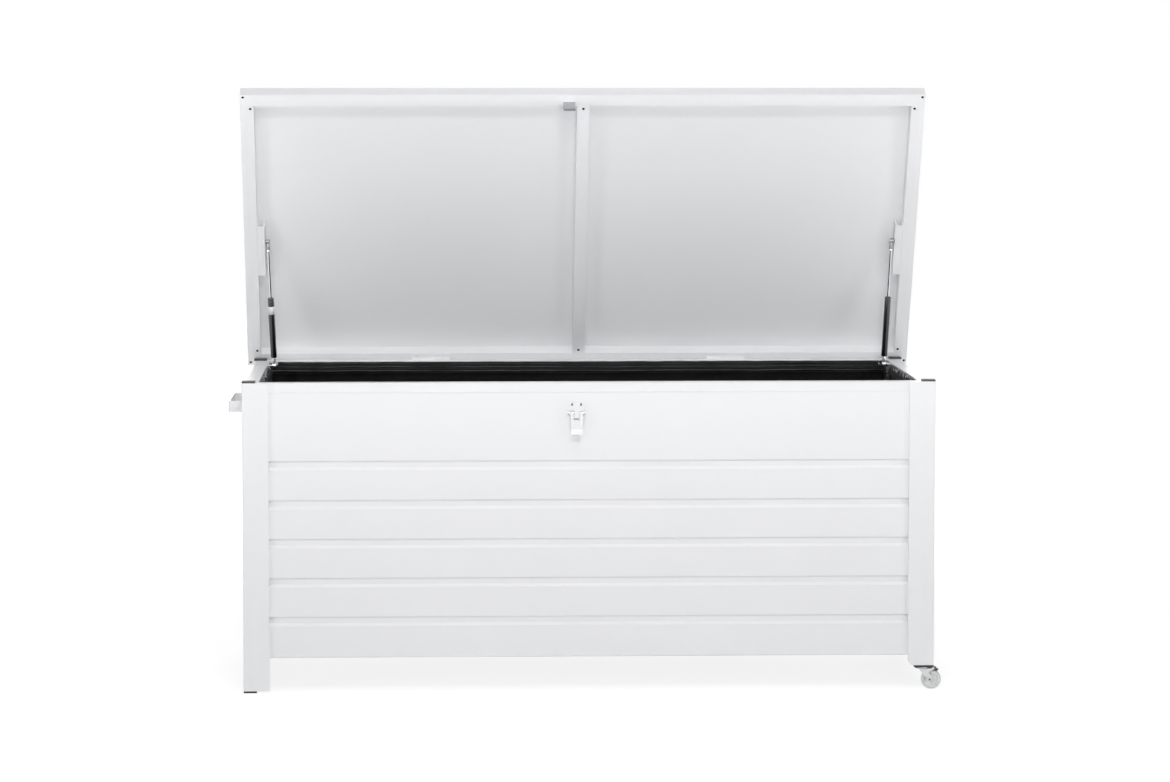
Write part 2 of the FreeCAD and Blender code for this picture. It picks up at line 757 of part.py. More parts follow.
def spring_brackets():
    """Plates with ball studs on the side rails, and channel brackets beside the lid's side rails."""
    face = half_width - rail_back
    low = block(face - bracket_sheet, face, spring_low.y - low_bracket_length / 2.0,
                spring_low.y + low_bracket_length / 2.0, rim_height - low_bracket_height, rim_height)
    low = low.makeFillet(low_bracket_corner, edges_along(low, Vector(1, 0, 0)))
    low = low.fuse(ball_stud(spring_low, face))
    save("spring_low_brackets", low, other_side(low))

    inner = lid_side_rail_face - top_bracket_width
    y0 = hinge_y - top_bracket_end
    y1 = hinge_y - top_bracket_start
    plate = block(inner, lid_side_rail_face, y0, y1, lid_rail_plane, lid_rail_plane + bracket_sheet)
    flange = block(inner, inner + bracket_sheet, y0, y1, lid_rail_plane, lid_rail_plane + top_bracket_height)
    seat = block(lid_side_rail_face - bracket_sheet, lid_side_rail_face, y0, y1, lid_rail_plane,
                 lid_rail_plane + top_bracket_height)
    channel = plate.fuse(flange).fuse(seat).removeSplitter()
    save("spring_top_brackets", lifted(channel), lifted(other_side(channel)))


def latch():
    """Draw latch: base with two ears, lever, claw and their pins, drawn about the latch's middle line."""
    back = panel_face
    front = back - latch_sheet
    half = latch_width / 2.0
    plate = block(-half, half, front, back, latch_top - latch_height, latch_top)
    plate = plate.makeFillet(latch_corner, edges_along(plate, Vector(0, 1, 0)))
    lever_half = lever_width / 2.0
    ear_in = lever_half + free_gap
    upper = [(back, ear_root_half), (latch_pin.y, ear_tip_half), (latch_pin.y - ear_nose_out, ear_nose_half)]
    ear_outline = [(y, latch_pin.z + half_tall) for y, half_tall in upper]
    ear_outline += [(y, latch_pin.z - half_tall) for y, half_tall in reversed(upper)]
    ear = prism_x(ear_outline, ear_in, ear_in + latch_sheet)
    base = plate.fuse(ear).fuse(other_side(ear))
    pin_line = (Vector(-latch_pin_length / 2.0, latch_pin.y, latch_pin.z),
                Vector(latch_pin_length / 2.0, latch_pin.y, latch_pin.z))
    base = base.cut(bar(pin_line[0], pin_line[1], latch_pin_radius))
    ear_out = ear_in + latch_sheet
    pin = bar(Vector(-ear_out, latch_pin.y, latch_pin.z), Vector(ear_out, latch_pin.y, latch_pin.z),
              latch_pin_radius)
    for side in (-1, 1):
        pin = pin.fuse(bar(Vector(side * ear_out, latch_pin.y, latch_pin.z),
                           Vector(side * latch_pin_length / 2.0, latch_pin.y, latch_pin.z), latch_pin_head))
    base = shifted(base, latch_middle, 0, 0)
    save("latch_base", base.cut(latch_slots(front - 1.0, back + 1.0)))
    save("latch_pin", shifted(pin, latch_middle, 0, 0))

    face_in = latch_pin.y - lever_face_out
    end = latch_pin.z - lever_length
    tab_y = face_in - lever_tab_out
    section = [(face_in, latch_pin.z + lever_top), (face_in, end), (tab_y, end - lever_tab_length)]
    front_sheet = sheet_along_x([(y, z) for y, z in reversed(section)], latch_sheet, bend_radius,
                                -lever_half, lever_half)
    tab_side = block(lever_tab_width / 2.0, lever_half + 1.0, tab_y - 5.0, face_in + 1.0,
                     end - lever_tab_length - 5.0, end - bend_radius)
    front_sheet = front_sheet.cut(tab_side).cut(other_side(tab_side))
    slot = block(-lever_slot / 2.0, lever_slot / 2.0, face_in - latch_sheet - 1.0, face_in + 1.0,
                 latch_pin.z - lever_slot_end, latch_pin.z + lever_top + 1.0)
    boss_slant = lever_boss_radius * math.sqrt(0.5)
    cheek_outline = ((face_in, latch_pin.z + lever_top), (latch_pin.y, latch_pin.z + lever_top),
                     (latch_pin.y + boss_slant, latch_pin.z - boss_slant),
                     (face_in + lever_cheek_end, end), (face_in, end))
    cheek = prism_x(cheek_outline, lever_half - latch_sheet, lever_half)
    cheek = cheek.fuse(bar(Vector(lever_half - latch_sheet, latch_pin.y, latch_pin.z),
                           Vector(lever_half, latch_pin.y, latch_pin.z), lever_boss_radius))
    lever = front_sheet.cut(slot).fuse(cheek).fuse(other_side(cheek))
    lever = lever.cut(bar(pin_line[0], pin_line[1], latch_pin_radius + latch_fit))
    claw_line = (Vector(-lever_half, claw_pin.y, claw_pin.z), Vector(lever_half, claw_pin.y, claw_pin.z))
    lever = lever.cut(bar(claw_line[0], claw_line[1], claw_pin_radius))
    save("latch_lever", shifted(lever, latch_middle, 0, 0))
    save("latch_claw_pin", shifted(bar(claw_line[0], claw_line[1], claw_pin_radius), latch_middle, 0, 0))

    claw_half = claw_width / 2.0
    eye = bar(Vector(-claw_half, claw_pin.y, claw_pin.z), Vector(claw_half, claw_pin.y, claw_pin.z),
              claw_pin_radius + latch_sheet)
    arm_y = claw_pin.y - claw_step
    arm = [(arm_y, claw_pin.z), (arm_y, latch_top), (arm_y + claw_hook, latch_top)]
    claw = sheet_along_x(arm, latch_sheet, bend_radius, -claw_half, claw_half)
    bridge = block(-claw_half, claw_half, arm_y - latch_sheet, claw_pin.y,
                   claw_pin.z - latch_sheet, claw_pin.z + latch_sheet)
    claw = claw.fuse(eye).fuse(bridge)
    claw = claw.cut(bar(claw_line[0], claw_line[1], claw_pin_radius + latch_fit))
    save("latch_claw", shifted(claw, latch_middle, 0, 0))

    y0 = lid_front + front_lip + free_gap
    low = lid_rail_plane - bracket_sheet
    keeper = [(y0 + keeper_reach, lid_rail_plane), (y0, lid_rail_plane), (y0, low - keeper_drop),
              (y0 - keeper_hook, low - keeper_drop)]
    x0 = keeper_middle - keeper_width / 2.0
    x1 = keeper_middle + keeper_width / 2.0
    strike = sheet_along_x(keeper, bracket_sheet, keeper_bend, x0, x1)
    keeper_end = low - keeper_drop - bracket_sheet
    whole = block(x0, x1, y0 - keeper_hook, y0 + keeper_reach, keeper_end, lid_rail_plane)
    nose = [edge for edge in edges_along(whole, Vector(0, 0, 1)) if edge.CenterOfMass.y < y0]
    strike = strike.common(whole.makeFillet(keeper_round, nose))
    save("latch_keeper", lifted(strike))


def handle():
    """Flat strap bent to a bow across the left wall and screwed on at both ends."""
    foot = handle_length / 2.0
    grip = foot - handle_foot
    knee = grip + handle_splay
    out = -handle_stand + handle_strap
    path = [(-foot, 0.0), (-knee, 0.0), (-grip, out), (grip, out), (knee, 0.0), (foot, 0.0)]
    face = bent_sheet([(x, y) for x, y in reversed(path)], handle_strap, handle_bend)
    strap = face.extrude(Vector(0, 0, handle_tall))
    bottom = rim_height - handle_top_below_rim - handle_tall
    screws = []
    for side in (-1, 1):
        x = side * (foot - handle_screw_inset)
        z = bottom + handle_tall / 2.0
        y = panel_face - handle_strap
        head = bar(Vector(x, y, z), Vector(x, y - screw_head_height, z), screw_head_radius)
        rim = [edge for edge in head.Edges if abs(edge.CenterOfMass.y - y + screw_head_height) < 0.01]
        screws.append(on_wall(head.makeFillet(edge_round, rim), "left"))
    save("handle", on_wall(shifted(strap, 0, panel_face, bottom), "left"))
    save("handle_screws", *screws)


def caster_fixed():
    """Black plate with a plug in the post, and the race with the kingpin that the fork turns on."""
    side = caster_plate_side
    bottom = caster_post_bottom - caster_plate_height
    plate = block(half_width - side, half_width, 0, side, bottom, caster_post_bottom)
    plate = plate.makeFillet(edge_round, edges_along(plate, Vector(0, 0, 1)))
    start = tube_wall + plug_fit
    plug = block(half_width - tube + start, half_width - start, start, tube - start,
                 caster_post_bottom, caster_post_bottom + plug_depth)
    plate = plate.fuse(plug)
    save("caster_plates", plate, other_end(plate))
    middle = caster_middle
    race = bar(Vector(middle.x, middle.y, race_bottom), Vector(middle.x, middle.y, bottom), race_radius)
    head_top = fork_top - fork_sheet - free_gap
    head_bottom = head_top - kingpin_head_height
    pin = bar(Vector(middle.x, middle.y, head_top), Vector(middle.x, middle.y, race_bottom), kingpin_radius)
    head = bar(Vector(middle.x, middle.y, head_bottom), Vector(middle.x, middle.y, head_top),
               kingpin_head_radius)
    race = race.fuse(pin).fuse(head)
    save("caster_races", race, other_end(race))


def caster_moving(label, turn, centre):
    """Fork, axle, wheel and brake pedal, drawn with the swivel axis at x = y = 0 and the wheel along +x."""
    inner = fork_half
    outer = fork_half + fork_sheet
    top = Part.makeCone(fork_crown_radius - fork_sheet, fork_crown_radius, fork_sheet,
                        Vector(0, 0, fork_top - fork_sheet))
    top = top.cut(bar(Vector(0, 0, 0), Vector(0, 0, rim_height), kingpin_radius + kingpin_fit))
    pivot_x = caster_trail + brake_pivot_ahead
    low_boss = (Vector(caster_trail, inner, wheel_radius), Vector(caster_trail, outer, wheel_radius))
    ear = (Vector(pivot_x, inner, brake_pivot_height), Vector(pivot_x, outer, brake_pivot_height))
    cheek_top = fork_top - fork_sheet / 2.0
    cheek_outline = ((-fork_crown_radius * fork_cheek_back, cheek_top), (pivot_x - fork_ear_radius, cheek_top),
                     (pivot_x + fork_ear_radius, brake_pivot_height),
                     (pivot_x, brake_pivot_height - fork_ear_radius),
                     (pivot_x - fork_waist_in, brake_pivot_height - fork_waist_down),
                     (caster_trail + fork_boss_radius, wheel_radius),
                     (caster_trail - fork_boss_radius, wheel_radius))
    cheek = prism_y(cheek_outline, inner, outer)
    cheek = cheek.fuse(bar(low_boss[0], low_boss[1], fork_boss_radius))
    cheek = cheek.fuse(bar(ear[0], ear[1], fork_ear_radius))
    flat = shifted(cheek, 0, -inner - outer, 0)
    fork = top.fuse(cheek).fuse(flat)
    axle_line = (Vector(caster_trail, -outer, wheel_radius), Vector(caster_trail, outer, wheel_radius))
    fork = fork.cut(bar(axle_line[0], axle_line[1], axle_radius))
    brake_line = (Vector(pivot_x, -outer, brake_pivot_height), Vector(pivot_x, outer, brake_pivot_height))
    brake_pin = bar(brake_line[0], brake_line[1], brake_pin_radius)
    fork = fork.fuse(brake_pin)

    axle = bar(axle_line[0], axle_line[1], axle_radius)
    for side in (-1, 1):
        axle = axle.fuse(bar(Vector(caster_trail, side * outer, wheel_radius),
                             Vector(caster_trail, side * (outer + axle_head_height), wheel_radius),
                             axle_head_radius))

    half = wheel_width / 2.0
    wheel = bar(Vector(caster_trail, -half, wheel_radius), Vector(caster_trail, half, wheel_radius), wheel_radius)
    wheel = wheel.makeFillet(wheel_round, round_edges(wheel))
    for side in (-1, 1):
        face = Vector(caster_trail, side * half, wheel_radius)
        dish_floor = Vector(caster_trail, side * (half - wheel_dish_depth), wheel_radius)
        dish = bar(face, dish_floor, wheel_radius * wheel_dish_outer)
        wheel = wheel.cut(dish.cut(bar(face, dish_floor, wheel_radius * wheel_dish_inner)))
    wheel = wheel.cut(bar(axle_line[0], axle_line[1], axle_radius + axle_fit))

    pad_half = wheel_width / 2.0
    pad_start = Vector(pivot_x, 0, brake_pivot_height)
    pad = block(pivot_x, pivot_x + brake_pad_length, -pad_half, pad_half,
                brake_pivot_height - brake_pad_thickness / 2.0, brake_pivot_height + brake_pad_thickness / 2.0)
    far_edges = [edge for edge in edges_along(pad, Vector(0, 0, 1)) if edge.CenterOfMass.x > pivot_x + 1.0]
    pad = pad.makeFillet(brake_pad_round, far_edges)
    pad = turned(pad, pad_start, Vector(0, 1, 0), brake_slope)
    hub = bar(Vector(pivot_x, -pad_half, brake_pivot_height), Vector(pivot_x, pad_half, brake_pivot_height),
              brake_pin_radius + brake_hub_wall)
    pedal = pad.fuse(hub).cut(bar(brake_line[0], brake_line[1], brake_pin_radius + axle_fit))

    for name, shape in (("fork", fork), ("axle", axle), ("wheel", wheel), ("brake", pedal)):
        placed = turned(shape, Vector(0, 0, 0), Vector(0, 0, 1), turn)
        placed.translate(centre)
        save("caster_%s_%s" % (name, label), placed)


def casters():
    caster_fixed()
    rear = Vector(caster_middle.x, box_depth - caster_middle.y, 0)
    caster_moving("front", caster_turn_front, caster_middle)
    caster_moving("rear", caster_turn_rear, rear)
    return {"front": (caster_middle, caster_turn_front), "rear": (rear, caster_turn_rear)}


def joint_facts(caster_places):
    """Places, axes, ranges and ratios of the joints, in metres and the part's own frame."""
    top, rest, closed = spring_facts()
    flat_rest = Vector(0, rest.y, rest.z)
    flat_closed = Vector(0, closed.y, closed.z)
    tilt_angle = math.degrees(flat_rest.getAngle(flat_closed))
    direction = Vector(rest).normalize()
    stroke = (flat_rest.Length - flat_closed.Length) * rest.Length / flat_rest.Length

    def metres(point):
        return [round(value / 1000.0, 6) for value in (point.x, point.y - origin_y, point.z)]

    facts = {
        "hinge": metres(Vector(0, hinge_y, hinge_z)),
        "open_angle": open_angle,
        "spring_low_right": metres(spring_low),
        "spring_direction_right": [round(value, 7) for value in direction],
        "spring_tilt": tilt_angle,
        "spring_stroke": stroke / 1000.0,
        "spring_lengths": [rest.Length, closed.Length],
        "latch_pin": metres(latch_pin),
        "claw_pin": metres(claw_pin),
        "lever_range": lever_range,
        "brake_range": brake_range,
        "origin_y": origin_y,
        "lid_plane": lid_plane,
    }
    for label, (centre, turn) in caster_places.items():
        way = Vector(math.cos(math.radians(turn)), math.sin(math.radians(turn)), 0)
        facts["caster_" + label] = {
            "swivel": metres(centre),
            "axle": metres(centre + way * caster_trail + Vector(0, 0, wheel_radius)),
            "brake": metres(centre + way * (caster_trail + brake_pivot_ahead) + Vector(0, 0, brake_pivot_height)),
            "axle_way": [round(-way.y, 7), round(way.x, 7), 0.0],
        }
    print("facts " + json.dumps(facts))


def main():
    posts()
    wall_frame()
    walls()
    floor()
    liner()
    lid()
    hinges()
    gas_springs()
    spring_brackets()
    latch()
    handle()
    joint_facts(casters())
    print("nodes", len(node_names))


main()
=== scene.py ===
import json
import math

import bmesh
import bpy
import numpy as np
from bpy.props import FloatProperty, FloatVectorProperty, IntProperty, PointerProperty
from bpy.types import Operator, Panel, PropertyGroup
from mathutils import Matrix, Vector


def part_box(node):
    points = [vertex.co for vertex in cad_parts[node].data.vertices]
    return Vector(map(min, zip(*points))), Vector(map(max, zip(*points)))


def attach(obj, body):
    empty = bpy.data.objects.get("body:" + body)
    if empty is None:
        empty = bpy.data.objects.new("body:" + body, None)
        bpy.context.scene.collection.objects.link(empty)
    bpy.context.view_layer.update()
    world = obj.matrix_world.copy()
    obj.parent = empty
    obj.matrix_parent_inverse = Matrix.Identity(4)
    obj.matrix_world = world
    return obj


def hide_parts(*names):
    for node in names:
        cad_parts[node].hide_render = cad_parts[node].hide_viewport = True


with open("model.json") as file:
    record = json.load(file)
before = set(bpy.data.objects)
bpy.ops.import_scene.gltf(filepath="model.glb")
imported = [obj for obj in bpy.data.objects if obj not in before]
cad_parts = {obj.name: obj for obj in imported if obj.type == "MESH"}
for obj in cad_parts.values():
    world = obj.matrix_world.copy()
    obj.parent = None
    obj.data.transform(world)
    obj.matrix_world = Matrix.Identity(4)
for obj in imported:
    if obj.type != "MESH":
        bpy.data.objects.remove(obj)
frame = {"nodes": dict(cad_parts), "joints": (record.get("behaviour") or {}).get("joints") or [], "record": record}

bl_info = {
    "name": "Cushion storage box",
    "version": (1, 0, 0),
    "blender": (4, 5, 0),
    "location": "3D View > Sidebar > Cushion box",
    "description": "Finishes, cloth liner, gas springs, wheels and studio for the cushion storage box",
    "category": "Object",
}

NODES = frame["nodes"]
JOINTS = {joint["name"]: joint for joint in frame["joints"]}
MM = 0.001
MERGE_DISTANCE = 0.000002


# Sizes and colours that a user may change

def colour_setting(name, description, default):
    return FloatVectorProperty(name=name, description=description, default=default, subtype="COLOR", size=3,
                               min=0.0, max=1.0)


def length_setting(name, description, default):
    return FloatProperty(name=name, description=description, default=default, subtype="DISTANCE",
                         unit="LENGTH")


def power_setting(name, description, default):
    return FloatProperty(name=name, description=description + " in watts", default=default, unit="POWER")


def angle_setting(name, description, degrees):
    return FloatProperty(name=name, description=description, default=math.radians(degrees), subtype="ANGLE")


class PowderCoatSettings(PropertyGroup):
    colour: colour_setting("Colour", "White of the powder coat", (0.868, 0.872, 0.886))
    roughness: FloatProperty(
        name="Roughness", description="How matt the coat is", default=0.42, min=0.0, max=1.0)
    peel_size: length_setting("Peel size", "Width of the coat's orange peel", 0.0011)
    sway_size: length_setting("Sway size", "Width of the slow waves in the thin sheets", 0.32)


class SmallPartSettings(PropertyGroup):
    plastic_colour: colour_setting("Plastic", "Black of the post caps", (0.042, 0.042, 0.045))
    # Painted shade: a darker copy of the black plastic for the parts that stand in shade near the floor
    shaded_foot_colour: colour_setting("Feet", "Darker black of the feet and the pedals", (0.013, 0.013, 0.014))
    zinc_colour: colour_setting("Zinc", "Colour of the zinc plating", (0.62, 0.63, 0.65))
    # Painted shade: a dark disc of this radius on each axle end stands for the shade in its hollow
    axle_hollow_shade: length_setting("Axle hollow", "Radius of the dark hollow in an axle's ends", 0.0026)
    nylon_colour: colour_setting("Nylon", "Colour of the pale wheels", (0.74, 0.755, 0.75))
    wheel_width: length_setting("Wheel width", "Width of a wheel over its hub", 0.017)
    wheel_ribs: IntProperty(
        name="Ribs", description="Ribs in each hollow side of a wheel", default=8, min=3, max=16)
    screw_socket: length_setting("Screw socket", "Width across the hexagon in a handle screw", 0.0042)
    rivet_radius: length_setting("Rivet radius", "Radius of a hinge rivet's head", 0.003)
    rivet_height: length_setting("Rivet height", "Height of a hinge rivet's head", 0.0011)


class LinerSettings(PropertyGroup):
    colour: colour_setting("Colour", "Black of the coated cloth", (0.0030, 0.0030, 0.0033))
    # Painted highlight: the colour laid along the crests of the hem's rolls
    crest_highlight_colour: colour_setting("Crests", "Rubbed crests of the hem's rolls", (0.115, 0.118, 0.124))
    thickness: length_setting("Thickness", "Thickness of the cloth with its lining", 0.0014)
    roll_bulge: length_setting("Roll bulge", "How far each roll of the hem stands out", 0.0021)
    slack: length_setting("Slack", "Depth of the deepest hanging folds", 0.0045)
    crumple: length_setting("Crumple", "Depth of the short waves of the hem near the corners", 0.0042)
    corner_radius: length_setting("Corner radius", "Radius of the liner's upright corners", 0.016)
    weave: length_setting("Weave", "Distance between the threads", 0.0012)
    stitch: length_setting("Stitch", "Length of one stitch and its gap", 0.0045)


class SpringSettings(PropertyGroup):
    paint: colour_setting("Paint", "Black of the spring cylinders", (0.006, 0.006, 0.0065))
    chrome: colour_setting("Chrome", "Colour of the plated rods", (0.78, 0.79, 0.81))
    # Painted light: the same zinc plate, made lighter on the lower sockets and darker on the upper ones
    lit_low_socket: colour_setting("Lower sockets", "Plate on the lower ball sockets", (0.86, 0.87, 0.88))
    shaded_top_socket: colour_setting("Upper sockets", "Plate on the upper ball sockets", (0.36, 0.37, 0.38))
    band_colour: colour_setting("Band", "White of the blank band", (0.80, 0.81, 0.82))
    band_height: length_setting("Band height", "Height of the blank white band", 0.019)
    band_drop: length_setting("Band drop", "From the cylinder's upper end to the band", 0.021)


class StudioSettings(PropertyGroup):
    camera_place: FloatVectorProperty(
        name="Camera", description="Where the camera stands", subtype="XYZ", unit="LENGTH", size=3,
        default=(-0.3633, -9.7658, 1.4515))
    camera_down: angle_setting("Look down", "How far the camera looks down", 4.6631)
    camera_right: angle_setting("Look right", "How far the camera looks to the right", 2.1498)
    lens: FloatProperty(
        name="Lens", description="Focal length in millimetres for a 36 mm sensor", default=128.57,
        unit="CAMERA")
    world_strength: FloatProperty(name="World", description="Light from all round", default=0.07)
    front_power: power_setting("Front light", "Power of the narrow softbox in front", 20.5)
    low_power: power_setting("Low light", "Power of the low narrow softbox in front", 1.8)
    slope_power: power_setting("Slope light", "Power of the softbox high in front", 62.0)
    high_power: power_setting("High light", "Power of the softbox above and in front", 24.0)
    top_power: power_setting("Top light", "Power of the softbox straight above", 3.0)
    side_power: power_setting("Side lights", "Power of each side softbox", 58.0)
    rear_power: power_setting("Rear light", "Power of the softbox behind", 85.0)


SETTINGS = {
    "box_powder_coat": PowderCoatSettings,
    "box_small_parts": SmallPartSettings,
    "box_liner": LinerSettings,
    "box_springs": SpringSettings,
    "box_studio": StudioSettings,
}


# Shader nodes written as Python sums

def maths(operation, swapped=False):
    """A method that adds a Math node. The link is the first value, or the second when swapped."""

    def method(link, other=0.0):
        first, second = (other, link) if swapped else (link, other)
        return link.nodes.node("ShaderNodeMath", {"operation": operation}, {0: first, 1: second})

    return method


class Link:
    """One output of a shader node. A sum written on it adds Math nodes."""

    def __init__(self, nodes, socket):
        self.nodes = nodes
        self.socket = socket

    __add__ = maths("ADD")
    __radd__ = maths("ADD", swapped=True)
    __sub__ = maths("SUBTRACT")
    __rsub__ = maths("SUBTRACT", swapped=True)
    __mul__ = maths("MULTIPLY")
    __rmul__ = maths("MULTIPLY", swapped=True)
    __truediv__ = maths("DIVIDE")
    sine = maths("SINE")
    size = maths("ABSOLUTE")
    remainder = maths("FRACT")
    at_least = maths("MAXIMUM")
    at_most = maths("MINIMUM")
    below = maths("LESS_THAN")


class Nodes:
    """A node tree, with one method that adds any node to it."""

    def __init__(self, tree):
        self.tree = tree

    def node(self, kind, settings=None, sockets=None, output=0):
        """One node of a kind, with its settings made first and then its sockets' values or links."""
        made = self.tree.nodes.new(kind)
        for key, value in (settings or {}).items():
            setattr(made, key, value)
        for key, value in (sockets or {}).items():
            if isinstance(value, Link):
                self.tree.links.new(value.socket, made.inputs[key])
            else:
                made.inputs[key].default_value = value
        return Link(self, made.outputs[output] if made.outputs else None)

    def ray(self, kind):
        """1 for rays of a kind, such as Is Camera Ray, and 0 for all others."""
        return self.node("ShaderNodeLightPath", output=kind)

    def seen_directly(self):
        """1 for rays from the camera, from a gloss or through glass, and 0 for rays that light something."""
        glossy = self.ray("Is Glossy Ray")
        return self.ray("Is Camera Ray").at_least(glossy).at_least(self.ray("Is Transmission Ray"))

    def vector(self, operation, first, second=(0.0, 0.0, 0.0), output=0):
        return self.node("ShaderNodeVectorMath", {"operation": operation}, {0: first, 1: second}, output)

    def mix(self, factor, first, second):
        """Colour that goes from the first to the second."""
        return self.node("ShaderNodeMix", {"data_type": "RGBA"}, {0: factor, 6: first, 7: second}, output=2)

    def smooth_range(self, value, start, end, low, high):
        """Goes smoothly from low to high while the value goes from start to end."""
        return self.node("ShaderNodeMapRange", {"interpolation_type": "SMOOTHSTEP"},
                         {"Value": value, "From Min": start, "From Max": end, "To Min": low, "To Max": high})


class Finish(Nodes):
    """A material of nodes round one Principled shader."""

    def __init__(self, name, colour, roughness, metallic=0.0):
        self.colour = tuple(colour)
        self.material = bpy.data.materials.new(name)
        self.material.use_nodes = True
        self.material.diffuse_color = (*self.colour, 1.0)
        super().__init__(self.material.node_tree)
        self.shader = self.tree.nodes["Principled BSDF"]
        self.set_values({"Base Color": (*self.colour, 1.0), "Roughness": roughness, "Metallic": metallic})
        self.place = self.node("ShaderNodeTexCoord", output="Object")

    def set_values(self, values):
        for socket, value in values.items():
            self.shader.inputs[socket].default_value = value

    def done(self, base, roughness, normal, values=None):
        """The material, with what changes over the surface linked and the uniform values set."""
        for socket, link in (("Base Color", base), ("Roughness", roughness), ("Normal", normal)):
            self.tree.links.new(link.socket, self.shader.inputs[socket])
        self.set_values(values or {})
        return self.material

    def map(self, name):
        """The two coordinates of a UV map, in metres along and across the cloth."""
        both = self.node("ShaderNodeUVMap", {"uv_map": name})
        return tuple(self.node("ShaderNodeSeparateXYZ", sockets={0: both}, output=axis) for axis in (0, 1))

    def noise(self, size, detail=2.0, rough=0.5, stretch=None):
        """Noise from 0 to 1 whose spots are about size metres wide."""
        place = self.place
        if stretch is not None:
            place = self.node("ShaderNodeMapping", {"vector_type": "POINT"},
                              {"Vector": place, "Scale": stretch})
        return self.node("ShaderNodeTexNoise", {"noise_dimensions": "3D"},
                         {"Vector": place, "Scale": 1.0 / size, "Detail": detail, "Roughness": rough})

    def tones(self, factor, dark, light):
        """The finish's own colour, from dark to light times as bright."""
        return self.mix(factor, shade(self.colour, dark), shade(self.colour, light))

    def bump(self, height, depth, strength=1.0, below=None):
        """Normal from a height of 0 to 1 that stands for depth metres."""
        sockets = {"Height": height, "Distance": depth, "Strength": strength}
        if below is not None:
            sockets["Normal"] = below
        return self.node("ShaderNodeBump", sockets=sockets)


def shade(colour, factor):
    """A colour made lighter or darker, with its alpha."""
    return tuple(min(1.0, channel * factor) for channel in colour) + (1.0,)


def highest(links):
    """The greatest of several links at each spot."""
    whole = links[0]
    for link in links[1:]:
        whole = whole.at_least(link)
    return whole


# Finishes

def powder_coat(settings):
    """White coat with orange peel, a slow sway of the sheet under it and a faint change of tone."""
    finish = Finish("white_powder_coat", settings.colour, settings.roughness)
    tone = finish.noise(0.24, 3.0)
    fine = finish.noise(0.012)
    sway = finish.bump(finish.noise(settings.sway_size, 1.0), 0.0014, 0.30)
    return finish.done(finish.tones(tone, 0.985, 1.012), settings.roughness + (fine - 0.5) * 0.10,
                       finish.bump(finish.noise(settings.peel_size), 0.00004, 0.55, sway),
                       {"Coat Weight": 0.12, "Coat Roughness": 0.28})


def moulded_plastic(name, colour, shine=0.5):
    """Black plastic with a fine moulded grain and worn lighter spots."""
    finish = Finish(name, colour, 0.5)
    rub = finish.noise(0.009, 3.0)
    grain = finish.noise(0.0006)
    return finish.done(finish.tones(rub, 0.75, 1.45), 0.44 + grain * 0.16, finish.bump(grain, 0.00008, 0.6),
                       {"Specular IOR Level": shine})


def plated(name, colour, hollow=None):
    """Zinc plate with a faint cloud and drawn lines. A hollow is a place, a way through it and a radius: as near
    as that to the line, which is the end of an axle, the plate is painted dark for the shade in its hollow."""
    finish = Finish(name, colour, 0.3, 1.0)
    cloud = finish.noise(0.006, 3.0)
    base = finish.tones(cloud, 0.82, 1.08)
    if hollow is not None:
        centre, way, radius = hollow
        aside = finish.vector("CROSS_PRODUCT", finish.vector("SUBTRACT", finish.place, centre), way)
        distance = finish.vector("LENGTH", aside, output=1)
        # Painted shade: the zinc is coloured near black inside the hollow's radius
        hollow_shade = ((radius - distance) / 0.0005).at_least(0.0).at_most(1.0)
        base = finish.mix(hollow_shade, base, shade(finish.colour, 0.06))
    drawn = finish.noise(0.0012, stretch=(1.0, 1.0, 0.15))
    return finish.done(base, 0.24 + cloud * 0.12 + drawn * 0.10, finish.bump(drawn, 0.00003, 0.4))


def nylon(settings):
    """Pale nylon that lets a little light in, with flow marks and a scuffed tread."""
    finish = Finish("pale_wheel", settings.nylon_colour, 0.36)
    flow = finish.noise(0.007, 3.0, stretch=(1.0, 1.0, 2.2))
    scuff = finish.noise(0.0016, 3.0)
    return finish.done(finish.tones(flow, 0.80, 1.22), 0.26 + scuff * 0.24, finish.bump(scuff, 0.00008, 0.5),
                       {"Subsurface Weight": 0.25, "Subsurface Radius": (0.004, 0.004, 0.004)})


def spring_paint(settings):
    """Gloss black paint with a fine dust and long faint runs."""
    finish = Finish("spring_black", settings.paint, 0.24)
    runs = finish.noise(0.008, 3.0, stretch=(1.0, 1.0, 0.2))
    return finish.done(finish.tones(runs, 0.8, 1.5), 0.16 + runs * 0.16,
                       finish.bump(finish.noise(0.0009), 0.00002, 0.4),
                       {"Coat Weight": 0.8, "Coat Roughness": 0.12})


def rod_chrome(settings):
    """Ground and plated rod with fine rings round it."""
    finish = Finish("chrome_rod", settings.chrome, 0.1, 1.0)
    rings = finish.noise(0.0007, stretch=(0.2, 0.2, 1.0))
    film = finish.noise(0.015)
    return finish.done(finish.tones(film, 0.9, 1.1), 0.07 + film * 0.08, finish.bump(rings, 0.00001, 0.4))


def band_paper(settings):
    """Blank white band of coated paper."""
    finish = Finish("blank_band", settings.band_colour, 0.4)
    fibre = finish.noise(0.0011, 3.0)
    return finish.done(finish.tones(fibre, 0.95, 1.05), 0.34 + fibre * 0.14,
                       finish.bump(fibre, 0.00002, 0.4))


